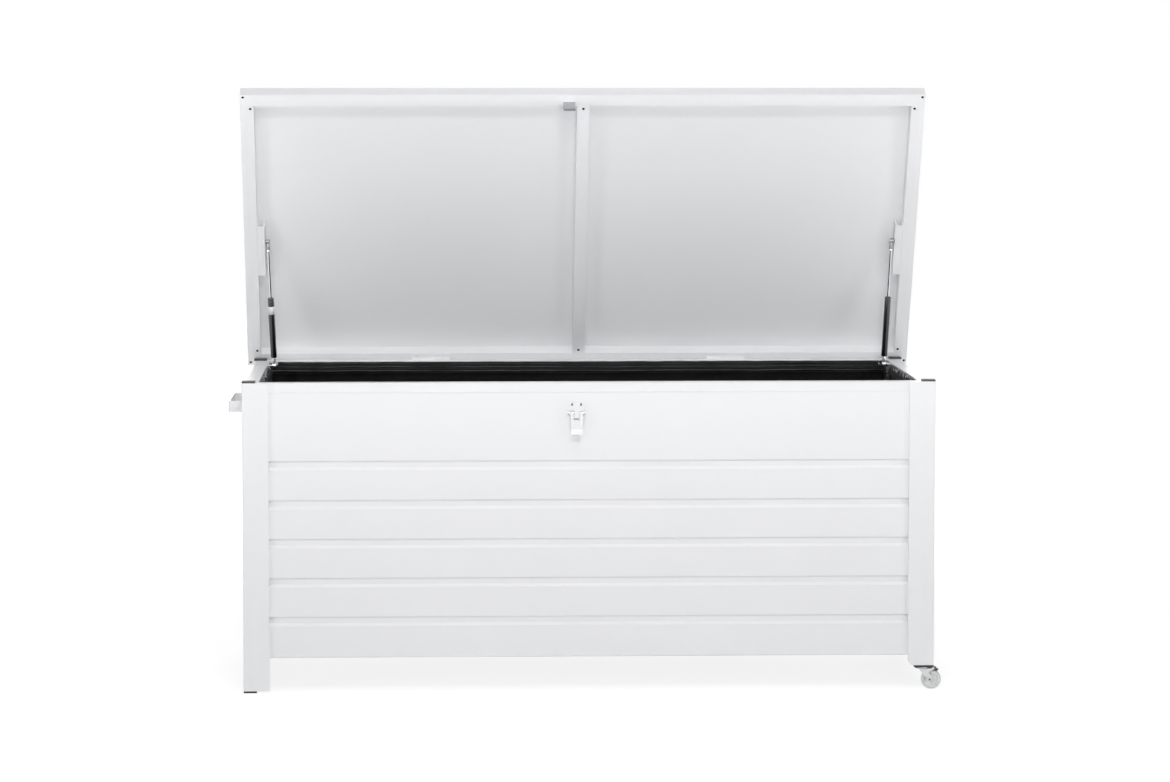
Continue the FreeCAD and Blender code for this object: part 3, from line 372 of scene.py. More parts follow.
def liner_cloth(settings, rows, crests, side_start):
    """Black coated weave: crossed threads, creases, rows of stitches and painted highlights on the hem's crests.

    Farther out than side_start the edge has bright specks. The piping has no cloth map and reads 0 across, so it
    gets none."""
    stitch_half = 0.0006
    highlight_half = 0.0016
    speck_reach = 0.009
    finish = Finish("black_cloth", settings.colour, 0.58)
    along, across = finish.map("cloth")
    turn = math.pi / settings.weave
    threads = (along * turn).sine() * (across * turn).sine()
    crease = 1.0 - (finish.noise(0.022, 4.0, 0.62) - 0.5).size() * 2.0
    dash = ((along / settings.stitch).remainder() - 0.5).size().below(0.33)
    stitches = highest([(across - row).size().below(stitch_half) for row in rows]) * dash
    sway = (finish.noise(0.13, 1.0) - 0.5) * 0.0036
    # Painted highlight: this noise makes the painted crest highlight stronger and weaker along the hem
    highlight_breakup = ((finish.noise(0.07) - 0.15) * 2.0).at_least(0.25).at_most(1.0)
    swayed = across + sway
    crest_highlight = highest([(1.0 - (swayed - crest).size() / highlight_half).at_least(0.0) * weight
                          for crest, weight in crests])
    sideways = finish.node("ShaderNodeSeparateXYZ", sockets={0: finish.place})
    side = 1.0 - sideways.size().below(side_start)
    speck = ((finish.noise(0.012) - 0.50) * 12.0).at_least(0.0).at_most(1.0)
    bright = side * speck * across.below(speck_reach) * (1.0 - across.below(0.0001))
    cloud = finish.noise(0.11, 3.0)
    base = finish.tones(cloud, 0.75, 1.55)
    # Painted highlight: the crests of the hem's rolls are coloured lighter
    base = finish.mix(crest_highlight * highlight_breakup, base, (*settings.crest_highlight_colour, 1.0))
    base = finish.mix(bright, base, (0.72, 0.73, 0.74, 1.0))
    base = finish.mix(stitches, base, (0.05, 0.05, 0.053, 1.0))
    folds = finish.bump(crease, 0.0016, 0.75)
    weave = finish.bump(threads, 0.00010, 0.5, folds)
    return finish.done(base, 0.50 + cloud * 0.16 + threads * 0.05, finish.bump(stitches, 0.0004, 0.8, weave),
                       {"Specular IOR Level": 0.15, "Sheen Weight": 0.03, "Sheen Roughness": 0.4})


def dressed(objects, material):
    """Give objects one material in place of what they had."""
    for piece in objects:
        piece.data.materials.clear()
        piece.data.materials.append(material)


# Surfaces from grids of points

def net(points, round_rows=False, round_columns=False, uv=None):
    """Mesh whose corners are a grid of rows by columns. Each four neighbours are joined by a face."""
    points = np.asarray(points, float)
    rows, columns = points.shape[:2]
    index = np.arange(rows * columns).reshape(rows, columns)
    if round_rows:
        index = np.vstack([index, index[:1]])
    if round_columns:
        index = np.hstack([index, index[:, :1]])
    faces = np.stack([index[:-1, :-1], index[:-1, 1:], index[1:, 1:], index[1:, :-1]], axis=-1)
    faces = faces.reshape(-1, 4)
    mesh = bpy.data.meshes.new("net")
    mesh.vertices.add(rows * columns)
    mesh.vertices.foreach_set("co", points.reshape(-1).astype(np.float32))
    mesh.loops.add(faces.size)
    mesh.loops.foreach_set("vertex_index", faces.reshape(-1).astype(np.int32))
    mesh.polygons.add(len(faces))
    mesh.polygons.foreach_set("loop_start", np.arange(0, faces.size, 4, dtype=np.int32))
    mesh.update(calc_edges=True)
    mesh.shade_smooth()
    if uv is not None:
        layer = mesh.uv_layers.new(name="cloth")
        layer.data.foreach_set("uv", uv.reshape(-1, 2)[faces.reshape(-1)].reshape(-1).astype(np.float32))
    return mesh


def closed(mesh, fill=False):
    """Merge doubled corners at poles and seams, fill open rims where asked, and turn the faces outwards."""
    work = bmesh.new()
    work.from_mesh(mesh)
    bmesh.ops.remove_doubles(work, verts=work.verts, dist=MERGE_DISTANCE)
    if fill:
        bmesh.ops.holes_fill(work, edges=work.edges, sides=0)
    bmesh.ops.recalc_face_normals(work, faces=work.faces)
    work.to_mesh(mesh)
    work.free()
    return mesh


def joined(name, meshes):
    """One object from several meshes."""
    work = bmesh.new()
    for mesh in meshes:
        work.from_mesh(mesh)
        bpy.data.meshes.remove(mesh)
    whole = bpy.data.meshes.new(name)
    work.to_mesh(whole)
    work.free()
    whole.shade_smooth()
    piece = bpy.data.objects.new(name, whole)
    bpy.context.scene.collection.objects.link(piece)
    return piece


def new_piece(name, meshes, material, body, stands_for=None):
    """A piece from meshes, with its material, its body and the node it stands for."""
    piece = joined(name, meshes)
    dressed([piece], material)
    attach(piece, body)
    if stands_for is not None:
        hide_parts(stands_for)
    return piece


def circle(direction, count):
    """Angles round a circle, the unit spokes at them square to a direction, and that direction made unit."""
    forward = np.asarray(direction, float) / np.linalg.norm(direction)
    guide = np.array([1.0, 0.0, 0.0]) if abs(forward[0]) < 0.8 else np.array([0.0, 1.0, 0.0])
    side = np.cross(forward, guide)
    side /= np.linalg.norm(side)
    angle = np.linspace(0.0, 2.0 * math.pi, count, endpoint=False)
    return angle, np.cos(angle)[:, None] * side + np.sin(angle)[:, None] * np.cross(forward, side), forward


def lathe(outline, start, direction, turns=48, looped=False):
    """Turned shape: each (height, radius) of the outline becomes a ring about the direction from start.

    A looped outline ends where it begins, as a sleeve's does."""
    spokes, forward = circle(direction, turns)[1:]
    height, radius = np.asarray(outline, float).T[:, :, None, None]
    points = np.asarray(start, float) + height * forward + radius * spokes
    return closed(net(points, round_rows=looped, round_columns=True))


def rounded(outline, radius, steps=5):
    """Outline with each inner corner replaced by a curve that starts and ends radius away from it.

    A point on the curve is (1-t)^2 a + 2t(1-t) b + t^2 c, for the corner b and its two ends a and c."""
    outline = [np.asarray(point, float) for point in outline]
    result = [outline[0]]
    for before, corner, after in zip(outline, outline[1:], outline[2:]):
        reach_in = min(radius, 0.5 * np.linalg.norm(corner - before))
        reach_out = min(radius, 0.5 * np.linalg.norm(after - corner))
        a = corner + (before - corner) / np.linalg.norm(before - corner) * reach_in
        c = corner + (after - corner) / np.linalg.norm(after - corner) * reach_out
        for t in np.linspace(0.0, 1.0, steps):
            result.append((1 - t) ** 2 * a + 2 * t * (1 - t) * corner + t ** 2 * c)
    result.append(outline[-1])
    return np.array(result)


def tube(path, radius, across=8, looped=False):
    """Round tube along a path: each point carries a circle square to the path's direction there."""
    path = np.asarray(path, float)
    if looped:
        way = np.roll(path, -1, axis=0) - np.roll(path, 1, axis=0)
    else:
        way = np.gradient(path, axis=0)
    way /= np.linalg.norm(way, axis=1)[:, None]
    guide = np.where(np.abs(way[:, 2:]) < 0.9, [[0.0, 0.0, 1.0]], [[1.0, 0.0, 0.0]])
    side = np.cross(way, guide)
    side /= np.linalg.norm(side, axis=1)[:, None]
    up = np.cross(side, way)
    angle = np.linspace(0.0, 2.0 * math.pi, across, endpoint=False)
    ring = np.cos(angle)[None, :, None] * side[:, None] + np.sin(angle)[None, :, None] * up[:, None]
    points = path[:, None] + radius * ring
    if not looped:
        points = np.concatenate([np.repeat(path[:1, None], across, 1), points,
                                 np.repeat(path[-1:, None], across, 1)])
    return closed(net(points, round_rows=looped, round_columns=True))


def wave(angle, power=1):
    """A sine wave from 0 to 1, raised to a power, which makes its crests narrower."""
    return (0.5 + 0.5 * np.sin(angle)) ** power


def hill(distance, width):
    """1 at no distance, and it falls off on both sides as a bell curve does."""
    return np.exp(-(distance / width) ** 2)


def eased(share):
    """Goes from 0 to 1 with the share, with a smooth start and end: 3s^2 - 2s^3."""
    share = np.clip(share, 0.0, 1.0)
    return share * share * (3.0 - 2.0 * share)


# The cloth liner

# Length of a slow fold's wave, its weight, its start and how much it leans with the height
FOLD_WAVES = ((0.31, 0.50, 0.7, 1.1), (0.173, 0.32, 2.9, -1.7), (0.088, 0.18, 4.4, 2.6))


def liner_ring(low, high, radius):
    """Path round the liner's outer face: place, inward way, length so far and distance to a corner.

    Straight runs are cut evenly, closer near the corners, and each corner is a quarter circle."""
    half_cell = 0.0028
    half = (high - low)[:2] / 2.0
    middle = (high + low)[:2] / 2.0
    places = []
    inward = []
    for number in range(4):
        turn = number * math.pi / 2.0
        way = np.array([math.cos(turn), math.sin(turn)])
        out = np.array([math.sin(turn), -math.cos(turn)])
        run = half[number % 2] - radius
        wide = half[1 - number % 2]
        steps = int(run / half_cell)
        share = np.linspace(-1.0, 1.0, steps, endpoint=False)
        share = share + 0.12 * np.sin(math.pi * share)
        places.append(middle + out * wide + way * (share * run)[:, None])
        inward.append(np.repeat(-out[None], steps, 0))
        angle = np.linspace(0.0, math.pi / 2.0, 10, endpoint=False)
        spoke = np.cos(angle)[:, None] * out + np.sin(angle)[:, None] * way
        places.append(middle + way * run + out * (wide - radius) + radius * spoke)
        inward.append(-spoke)
    places = np.concatenate(places)
    step = np.linalg.norm(np.roll(places, -1, axis=0) - places, axis=1)
    along = np.concatenate([[0.0], np.cumsum(step)[:-1]])
    corner_gap = np.max(np.abs(np.abs(places - middle) - half), axis=1)
    return places, np.concatenate(inward), along, corner_gap


def hanging_folds(along, height, corner_gap, slack):
    """Depth of the folds inwards, at lengths along the wall and heights from 0 at the floor to 1 at the hem.

    Slow upright waves squared, so that they stand inwards only, plus slanting creases that fade away from
    the corners, thin storage creases, and a gathering that ends below the hem. All are zero at both ends."""
    turn = 2.0 * math.pi
    slow = sum(weight * wave(turn * along / length + phase + lean * height, 2)
               for length, weight, phase, lean in FOLD_WAVES)
    slant = wave(turn * (corner_gap / 0.055 + height / 0.23), 3) * hill(corner_gap, 0.11)
    pleat = hill((along + 0.04 * np.sin(9.0 * height)) % 0.43 - 0.21, 0.0045)
    belt = hill(height - 0.52 - 0.006 * np.sin(along * 7.0), 0.008)
    gather = wave(turn * along / 0.041 + 1.3 * np.sin(along * 11.0), 2) * hill(1.0 - height, 0.11)
    ends = eased(np.minimum(height / 0.10, (1.0 - height) / 0.03))
    return slack * ends * (slow + 0.55 * slant + 0.22 * pleat + 0.20 * belt + 0.28 * gather)


def crumpled_hem(along, drop, corner_gap, side_wall, depth):
    """Depth inwards of the hem's short waves, at lengths along the wall and drops below the top edge.

    The waves are the square of a sine whose length wanders from 15 to 25 mm. They fade in below the top
    edge, out below the hem, and along the long walls out with the distance to the corner."""
    turn = 2.0 * math.pi
    short = wave(turn * along / 0.020 + 2.2 * np.sin(along * 29.0) + 60.0 * drop, 2)
    tuck = wave(turn * along / 0.047 + 1.7 * np.sin(along * 13.0) - 90.0 * drop, 2)
    upper = np.clip(drop / 0.004, 0.25, 1.0) * np.clip((0.040 - drop) / 0.014, 0.0, 1.0)
    near = np.maximum(hill(corner_gap, 0.085), 0.85 * side_wall)
    return depth * upper * near * (0.6 * short + 0.5 * tuck)


def liner_profile(cloth, hem_rolls, wall_height):
    """Section of a liner wall, round from the outer foot: height below the top edge, depth and hem mark.

    The outer face goes up, a half circle goes over the edge, each hem roll is a half sine and the
    inner face goes down. The mark is 1 on the rolls, so that side walls can have flatter ones."""
    edge = cloth / 2.0
    turn = np.linspace(0.0, math.pi, 6)[1:-1]
    share = np.linspace(0.0, 1.0, 8, endpoint=False)
    tops = edge + np.cumsum((0.0,) + hem_rolls)
    outer = edge + np.linspace(1.0, 0.0, 20) * (wall_height - edge)
    inner = tops[-1] + np.linspace(0.0, 1.0, 34) * (wall_height - tops[-1])
    runs = [(outer, 0.0, 0.0), (edge * (1.0 - np.sin(turn)), edge * (1.0 - np.cos(turn)), 0.0)]
    runs += [(top + roll * share, cloth, np.sin(math.pi * share) ** 0.7)
             for top, roll in zip(tops, hem_rolls)]
    runs.append((inner, cloth, 0.0))
    return [np.concatenate([np.broadcast_to(run[part], run[0].shape) for run in runs]) for part in range(3)]


def liner_walls(settings, low, high, notch_middle, hem_rolls):
    """The four hanging walls as one closed shell, and the ring that they stand on.

    Each side wall's top edge dips in an eased notch that leaves room for the gas spring."""
    notch_half = 0.040
    notch_slope = 0.015
    notch_depth = 0.0275
    places, inward, along, corner_gap = liner_ring(low, high, settings.corner_radius)
    drop, depth, mark = liner_profile(settings.thickness, hem_rolls, high[2] - low[2])
    drop = drop[:, None]
    side_wall = (np.abs(inward[:, 0]) > 0.98).astype(float)
    dip = side_wall * eased((notch_half - np.abs(places[:, 1] - notch_middle)) / notch_slope)
    ripple = 0.0004 * np.sin(along * 37.0) + 0.0002 * np.sin(along * 91.0 + 1.0)
    top = high[2] - notch_depth * dip - 0.0004 - np.abs(ripple)
    z = top - drop * (top - low[2]) / (high[2] - low[2])
    height = np.clip((z - low[2]) / (top - low[2]), 0.0, 1.0)
    bulge = settings.roll_bulge * (0.78 + 0.22 * np.sin(along * 23.0 + 2.0 * np.sin(along * 5.0)))
    bulge = bulge * np.where(side_wall > 0.5, 0.45, 1.0)
    short = crumpled_hem(along, drop, corner_gap, side_wall, settings.crumple) * (1.0 - dip)
    folds = hanging_folds(along, height, corner_gap, settings.slack)
    inset = depth[:, None] + folds + mark[:, None] * bulge + short
    points = np.concatenate([places + inward * inset[..., None], z[..., None]], axis=2)
    uv = np.stack(np.broadcast_arrays(along, drop), axis=2)
    return closed(net(points, round_rows=True, round_columns=True, uv=uv)), (places, inward)


def liner_floor(settings, low, high):
    """The floor cloth as a closed shell: its upper face has low wandering wrinkles that fade at the edges.

    The wrinkles are powers of two crossed sine waves with bent crests. Its cloth map is kept clear of the hem's
    range, so no stitches or painted crest highlights come on it."""
    turn = 2.0 * math.pi
    inset = settings.thickness * 0.6
    x = np.linspace(low[0] + inset, high[0] - inset, 190)
    y = np.linspace(low[1] + inset, high[1] - inset, 84)
    x, y = np.meshgrid(x, y)
    edge = np.minimum(np.minimum(x - x.min(), x.max() - x), np.minimum(y - y.min(), y.max() - y))
    bend = 0.05 * np.sin(6.0 * x + 2.0 * np.sin(9.0 * y))
    ridge = wave(turn * (y + bend + 0.15 * x) / 0.21, 6)
    cross = wave(turn * (x + 0.09 * np.sin(8.0 * y) - 0.3 * y) / 0.37, 8)
    pillow = 0.5 + 0.5 * np.sin(7.0 * x + 1.0) * np.sin(10.0 * y + 0.4)
    rise = np.clip(edge / 0.05, 0.0, 1.0) * (0.0030 * ridge + 0.0036 * cross + 0.0008 * pillow)
    lower = np.stack([x, y, np.full_like(x, low[2])], axis=2)
    upper = np.stack([x, y, low[2] + settings.thickness + rise], axis=2)
    sides = np.concatenate([upper, lower[::-1], upper[:1]], axis=0)
    return closed(net(sides, uv=sides[..., :2] + (4.0, 3.0)), fill=True)


def seam_piping(settings, low, high, ring):
    """Round edging sewn along the foot of the walls and up the four corners."""
    foot_radius = 0.0019
    corner_radius = 0.0017
    places, inward = ring
    foot = places + inward * (settings.thickness + 0.0022)
    foot = np.concatenate([foot, np.full((len(foot), 1), low[2] + settings.thickness + 0.0016)], axis=1)
    pieces = [tube(foot[::2], foot_radius, looped=True)]
    height = np.linspace(low[2] + 0.004, high[2] - 0.027, 60)
    slant = settings.corner_radius * (1.0 - math.sqrt(0.5))
    lean = slant + settings.thickness * 0.8 + 0.0006 * np.sin(height * 31.0)
    for x, way_x in ((low[0], 1.0), (high[0], -1.0)):
        for y, way_y in ((low[1], 1.0), (high[1], -1.0)):
            path = np.stack([x + way_x * lean, y + way_y * lean, height], axis=1)
            pieces.append(tube(path, corner_radius))
    return pieces


class BOX_OT_liner(Operator):
    """Sewn black cloth liner that hangs from the rails, with its hem in three soft rolls"""
    bl_idname = "cushion_box.liner"
    bl_label = "Cloth liner"

    def execute(self, context):
        settings = context.scene.box_liner
        low, high = (np.array(corner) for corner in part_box("liner"))
        notch_middle = JOINTS["spring_tilt_right"]["pos_m"][1]
        # Heights of the three rolls, and each painted crest highlight's way below the top edge with its brightness
        hem_rolls = (0.0075, 0.0075, 0.011)
        crests = ((0.0052, 0.55), (0.0122, 0.8), (0.0215, 1.2))
        first_stitches = 0.0028
        speck_width = 0.02
        rows = settings.thickness / 2.0 + np.cumsum(hem_rolls)
        stitch_rows = [float(row) for row in rows] + [first_stitches]
        material = liner_cloth(settings, stitch_rows, crests, float(high[0]) - speck_width)
        walls, ring = liner_walls(settings, low, high, notch_middle, hem_rolls)
        floor = liner_floor(settings, low, high)
        cloth = new_piece("liner_cloth", [walls, floor], material, "box", "liner")
        edging = seam_piping(settings, low, high, ring)
        piping = new_piece("liner_piping", edging, material, "box")
        return {"FINISHED"}


# Gas springs: sizes in millimetres, heights from the lower ball

CYLINDER_RADIUS = 7.5
CYLINDER_FOOT = 19.0
CYLINDER_CRIMP = 158.0
CYLINDER_TOP = 166.0
ROD_FOOT = 146.0
ROD_RADIUS = 3.0
SOCKET_LENGTH = 20.0


def spring_line(side):
    """Lower ball, way up the spring and the rod's upper end as a height from the ball, for one side."""
    low = np.array(JOINTS["spring_tilt_" + side]["pos_m"], float)
    way = np.array(JOINTS["spring_slide_" + side]["axis"], float)
    way /= np.linalg.norm(way)
    rod_top = np.array(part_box("spring_rod_" + side)[1])
    return low, way, abs(rod_top[2] - low[2]) / way[2] / MM


def turned(outline, curve, steps, start, way, turns):
    """Turned shape from an outline in millimetres whose corners are rounded first."""
    return lathe(rounded(np.array(outline) * MM, curve * MM, steps), start, way, turns)


def spring_cylinder(low, way):
    """Painted tube with rolled shoulders, a crimp near its upper end and a dark rod seal."""
    foot = CYLINDER_FOOT
    wall = CYLINDER_RADIUS
    crimp = CYLINDER_CRIMP
    seal = CYLINDER_TOP - 2.0
    outline = [(foot, 0.0), (foot, 5.4), (foot + 1.6, wall), (crimp, wall), (crimp + 0.9, wall - 0.75),
               (crimp + 2.4, wall - 0.75), (crimp + 3.3, wall), (crimp + 5.6, wall), (crimp + 7.4, 6.1),
               (crimp + 7.9, 4.6), (crimp + 7.2, 3.3), (seal, 3.2), (seal, 0.0)]
    return turned(outline, 0.5, 4, low, way, 64)


def spring_rod(low, way, top):
    """Plated rod with a wider collar at its upper end."""
    collar = ROD_RADIUS + 0.6
    outline = [(ROD_FOOT, 0.0), (ROD_FOOT, ROD_RADIUS), (top - 6.0, ROD_RADIUS), (top - 4.5, collar),
               (top, collar), (top, 0.0)]
    return turned(outline, 0.4, 3, low, way, 40)


def spring_band(settings, low, way):
    """Thin sleeve of paper round the cylinder."""
    outer = CYLINDER_RADIUS * MM + 0.00018
    inner = (CYLINDER_RADIUS - 0.1) * MM
    top = CYLINDER_TOP * MM - settings.band_drop
    start = top - settings.band_height
    return lathe([(start, inner), (start, outer), (top, outer), (top, inner)], low, way, 64, looped=True)


def socket_parts(ball, up, across, with_stud):
    """Barrel open towards the bracket, shank with a flared collar, wire clip, and the stud if it rides
    along. The outlines are in millimetres from the ball's centre."""
    clip_radius = 0.0053
    wire_radius = 0.0004
    barrel = [(-4.6, 0.0), (-4.6, 5.2), (-4.0, 5.8), (-2.7, 5.8), (-1.7, 4.9), (1.7, 4.9), (2.7, 5.8),
              (4.0, 5.8), (4.6, 5.2), (4.6, 3.6), (2.2, 4.05), (0.0, 4.05), (-2.4, 3.2), (-3.4, 0.0)]
    shank_end = SOCKET_LENGTH - 0.1
    shank = [(0.0, 0.0), (0.0, 3.5), (7.0, 3.5), (8.4, 4.2), (shank_end, 4.2), (shank_end, 0.0)]
    angle = np.linspace(-2.3, 2.3, 40)[:, None]
    hoop = np.sin(angle) * np.cross(across, up) - np.cos(angle) * up
    parts = [turned(barrel, 0.5, 4, ball, across, 40), turned(shank, 0.4, 4, ball, up, 36),
             tube(ball + hoop * clip_radius, wire_radius)]
    if with_stud:
        stud = [(-3.95, 0.0), (-3.4, 2.0), (-2.0, 3.4), (0.0, 3.95), (2.2, 3.3), (3.4, 2.1), (6.2, 2.1),
                (6.3, 4.2), (7.6, 4.2), (7.8, 2.1), (8.4, 2.1), (8.4, 0.0)]
        parts.append(turned(stud, 0.3, 3, ball, across, 36))
    return parts


class BOX_OT_gas_springs(Operator):
    """Two gas springs: painted cylinders, plated rods, ball sockets with wire clips and one blank band"""
    bl_idname = "cushion_box.gas_springs"
    bl_label = "Gas springs"

    def execute(self, context):
        settings = context.scene.box_springs
        paint = spring_paint(settings)
        chrome = rod_chrome(settings)
        # Painted light: lit and shaded copies of the one socket plate
        bright = plated("low_socket_plate", settings.lit_low_socket)
        shaded_plate = plated("top_socket_plate", settings.shaded_top_socket)
        for side, out in (("right", 1.0), ("left", -1.0)):
            low, way, rod_top = spring_line(side)
            lower = "spring_cylinder_%s_body" % side
            upper = "spring_rod_%s_body" % side
            new_piece("cylinder_tube_" + side, [spring_cylinder(low, way)], paint, lower,
                      "spring_cylinder_" + side)
            new_piece("plated_rod_" + side, [spring_rod(low, way, rod_top)], chrome, upper,
                      "spring_rod_" + side)
            top = low + way * (rod_top + SOCKET_LENGTH) * MM
            across = np.array([out, 0.0, 0.0])
            for end, parts, plate, body in (("low", socket_parts(low, way, across, False), bright, lower),
                                            ("top", socket_parts(top, -way, across, True), shaded_plate, upper)):
                new_piece("%s_ball_socket_%s" % (end, side), parts, plate, body,
                          "spring_%s_socket_%s" % (end, side))
            if side == "left":
                new_piece("blank_band", [spring_band(settings, low, way)], band_paper(settings), lower)
        return {"FINISHED"}


# Casters and screws

def wheel(centre, axle_way, radius, width, ribs):
    """Nylon wheel: a crowned tread, a dished side with radial ribs, a hub and a bore, in millimetres.

    The section, drawn for a wheel of drawn_radius, runs round from the bore over one side, the tread and
    the other side. In the dish its depth is less by a narrow smooth bump at each rib's angle."""
    drawn_radius = 22.5
    rib_height = 1.2
    half = width / 2.0
    floor = half - 1.9
    section = [(3.1, half - 0.4), (3.6, half), (6.4, half), (6.9, half - 0.5), (7.4, half - 1.7),
               (8.5, floor), (11.0, floor), (13.4, floor), (14.2, half - 1.5), (14.8, half - 0.4),
               (15.4, half), (18.6, half - 0.1), (20.6, half - 0.9), (21.9, half - 2.4), (22.35, half - 4.4),
               (drawn_radius, half - 6.6)]
    section = rounded(section, 0.35, 3)
    reach, aside = np.concatenate([section, section[::-1] * (1.0, -1.0)]).T[:, :, None]
    angle, spokes, forward = circle(axle_way, 160)
    dish = (reach > 7.0) & (reach < 14.2)
    bump = np.clip(np.cos(angle * ribs), 0.0, 1.0) ** 18
    aside = aside + np.where(dish, rib_height, 0.0) * bump * np.sign(aside)
    reach = reach * radius / drawn_radius
    points = np.asarray(centre) + MM * (reach[..., None] * spokes + aside[..., None] * forward)
    return closed(net(points, round_rows=True, round_columns=True))


class BOX_OT_wheels(Operator):
    """Pale nylon wheels on the two casters"""
    bl_idname = "cushion_box.wheels"
    bl_label = "Caster wheels"

    def execute(self, context):
        settings = context.scene.box_small_parts
        material = nylon(settings)
        for label in ("front", "rear"):
            spin = JOINTS["wheel_spin_" + label]
            low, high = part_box("caster_wheel_" + label)
            radius = (high[2] - low[2]) / 2.0 / MM
            width = settings.wheel_width / MM
            shape = wheel(spin["pos_m"], spin["axis"], radius, width, settings.wheel_ribs)
            new_piece("nylon_wheel_" + label, [shape], material, "caster_wheel_%s_body" % label,
                      "caster_wheel_" + label)
        return {"FINISHED"}


def socket_screw(centre, way, radius, height, across_flats):
    """Domed screw head with a hexagon socket: rings from the socket's floor, up its flats and over the dome.

    In the socket a ring's radius is that of a hexagon, r / cos of the angle to the nearest flat's middle.
    A ring is its radius and its share of the head's height."""
    angle, spokes, forward = circle(way, 60)
    floor = 0.35
    sixth = math.pi / 3.0
    hexagon = across_flats / 2.0 / np.cos((angle + sixth / 2.0) % sixth - sixth / 2.0)
    level = np.ones_like(angle)
    rings = [(0.0 * level, floor), (hexagon, floor), (hexagon, 0.93), (hexagon * 1.04, 0.97)]
    for turn in np.linspace(0.25, 0.5, 8) * math.pi:
        share = floor + (1.0 - floor) * math.cos(turn) * math.sqrt(2.0)
        rings.append((level * radius * math.sin(turn), share))
    rings += [(level * radius, 0.0), (0.0 * level, 0.0)]
    points = [np.asarray(centre) + spread[:, None] * spokes + share * height * forward
              for spread, share in rings]
    return closed(net(points, round_columns=True))


def domed_rivet(centre, way, radius, height):
    """Rivet head: the radius is the sine and the height the cosine of a quarter turn, with a flat back."""
    turn = np.linspace(0.0, math.pi / 2.0, 9)
    outline = np.stack([height * np.cos(turn), radius * np.sin(turn)], axis=1)
    return lathe(np.concatenate([outline, [[0.0, 0.0]]]), centre, way, 32)


def corners_of(node):
    """Places of all corners of a node's mesh."""
    mesh = NODES[node].data
    co = np.empty(len(mesh.vertices) * 3, np.float32)
    mesh.vertices.foreach_get("co", co)
    return co.reshape(-1, 3).astype(float)


def solids_along(node, axis):
    """Boxes of a node's separate solids, found by the gaps between them along one axis."""
    least_gap = 0.006
    co = corners_of(node)
    order = co[np.argsort(co[:, axis])]
    cuts = np.nonzero(np.diff(order[:, axis]) > least_gap)[0] + 1
    return [(part.min(0), part.max(0)) for part in np.split(order, cuts)]


def lid_ways():
    """The lid's way forward from the hinge and the way square out of its inner face."""
    tilt = math.radians(JOINTS["lid_hinge"]["range_deg"][1])
    forward = np.array([0.0, -math.cos(tilt), math.sin(tilt)])
    face = np.array([0.0, -math.sin(tilt), -math.cos(tilt)])
    return forward, face


def hole_shade_caps():
    """Dark caps sunk in the lid's holes: domed discs just under the inner face that stand for the shade inside the
    holes.

    The lid's own sizes come from its sheet and its middle rail, measured from the hinge along the lid."""
    hinge = np.array(JOINTS["lid_hinge"]["pos_m"])
    forward, face = lid_ways()
    sheet = corners_of("lid_sheet") - hinge
    reach = sheet @ forward
    front = reach.max()
    back = reach.min()
    half = sheet[:, 0].max()
    rail_face = ((corners_of("lid_rail_middle") - hinge) @ face).max()
    corner_x = half - 6.5 * MM
    corner_in = 7.5 * MM
    rail_x = half - 23.0 * MM
    rail_in = 39.0 * MM
    from_hinge = 21.0 * MM
    sheet_face = rail_face + 1.2 * MM
    holes = []
    for x in (-corner_x, corner_x):
        holes += [(x, front - corner_in, sheet_face), (x, back + corner_in, sheet_face)]
    for x in (-rail_x, 0.0, rail_x):
        holes += [(x, front - rail_in, rail_face), (x, from_hinge, rail_face)]
    outline = np.array([(-0.1, 0.0), (-0.2, 1.7), (-0.5, 2.7), (-0.9, 3.05), (-1.4, 3.05), (-1.4, 0.0)]) * MM
    return [lathe(outline, hinge + (x, 0.0, 0.0) + along * forward + out * face, face, 28)
            for x, along, out in holes]


class BOX_OT_fasteners(Operator):
    """Socket screws on the handle, domed rivets on the hinge leaves and dark caps for the painted shade in the
    lid's holes
    """
    bl_idname = "cushion_box.fasteners"
    bl_label = "Screws and rivets"

    def execute(self, context):
        settings = context.scene.box_small_parts
        coat = bpy.data.materials["white_powder_coat"]
        heads = []
        for low, high in solids_along("handle_screws", 1):
            centre = (high[0], (low[1] + high[1]) / 2.0, (low[2] + high[2]) / 2.0)
            heads.append(socket_screw(centre, (-1.0, 0.0, 0.0), (high[1] - low[1]) / 2.0, high[0] - low[0],
                                      settings.screw_socket))
        new_piece("handle_socket_screws", heads, coat, "box", "handle_screws")
        sunk = 0.0005
        up = np.array([0.0, 0.0, 1.0])
        for node, body, way in (("hinge_box_rivets", "box", up), ("hinge_lid_rivets", "lid", lid_ways()[1])):
            heads = [domed_rivet((low + high) / 2.0 - way * sunk, way, settings.rivet_radius,
                                 settings.rivet_height) for low, high in solids_along(node, 0)]
            new_piece("domed_" + node, heads, coat, body, node)
        # Painted shade: near-black caps in the lid's holes stand for the shade inside them
        cap_plastic = moulded_plastic("cap_plastic", shade(settings.shaded_foot_colour, 0.4)[:3], 0.05)
        new_piece("lid_hole_caps", hole_shade_caps(), cap_plastic, "lid")
        return {"FINISHED"}


# Finishes of the frame's own pieces

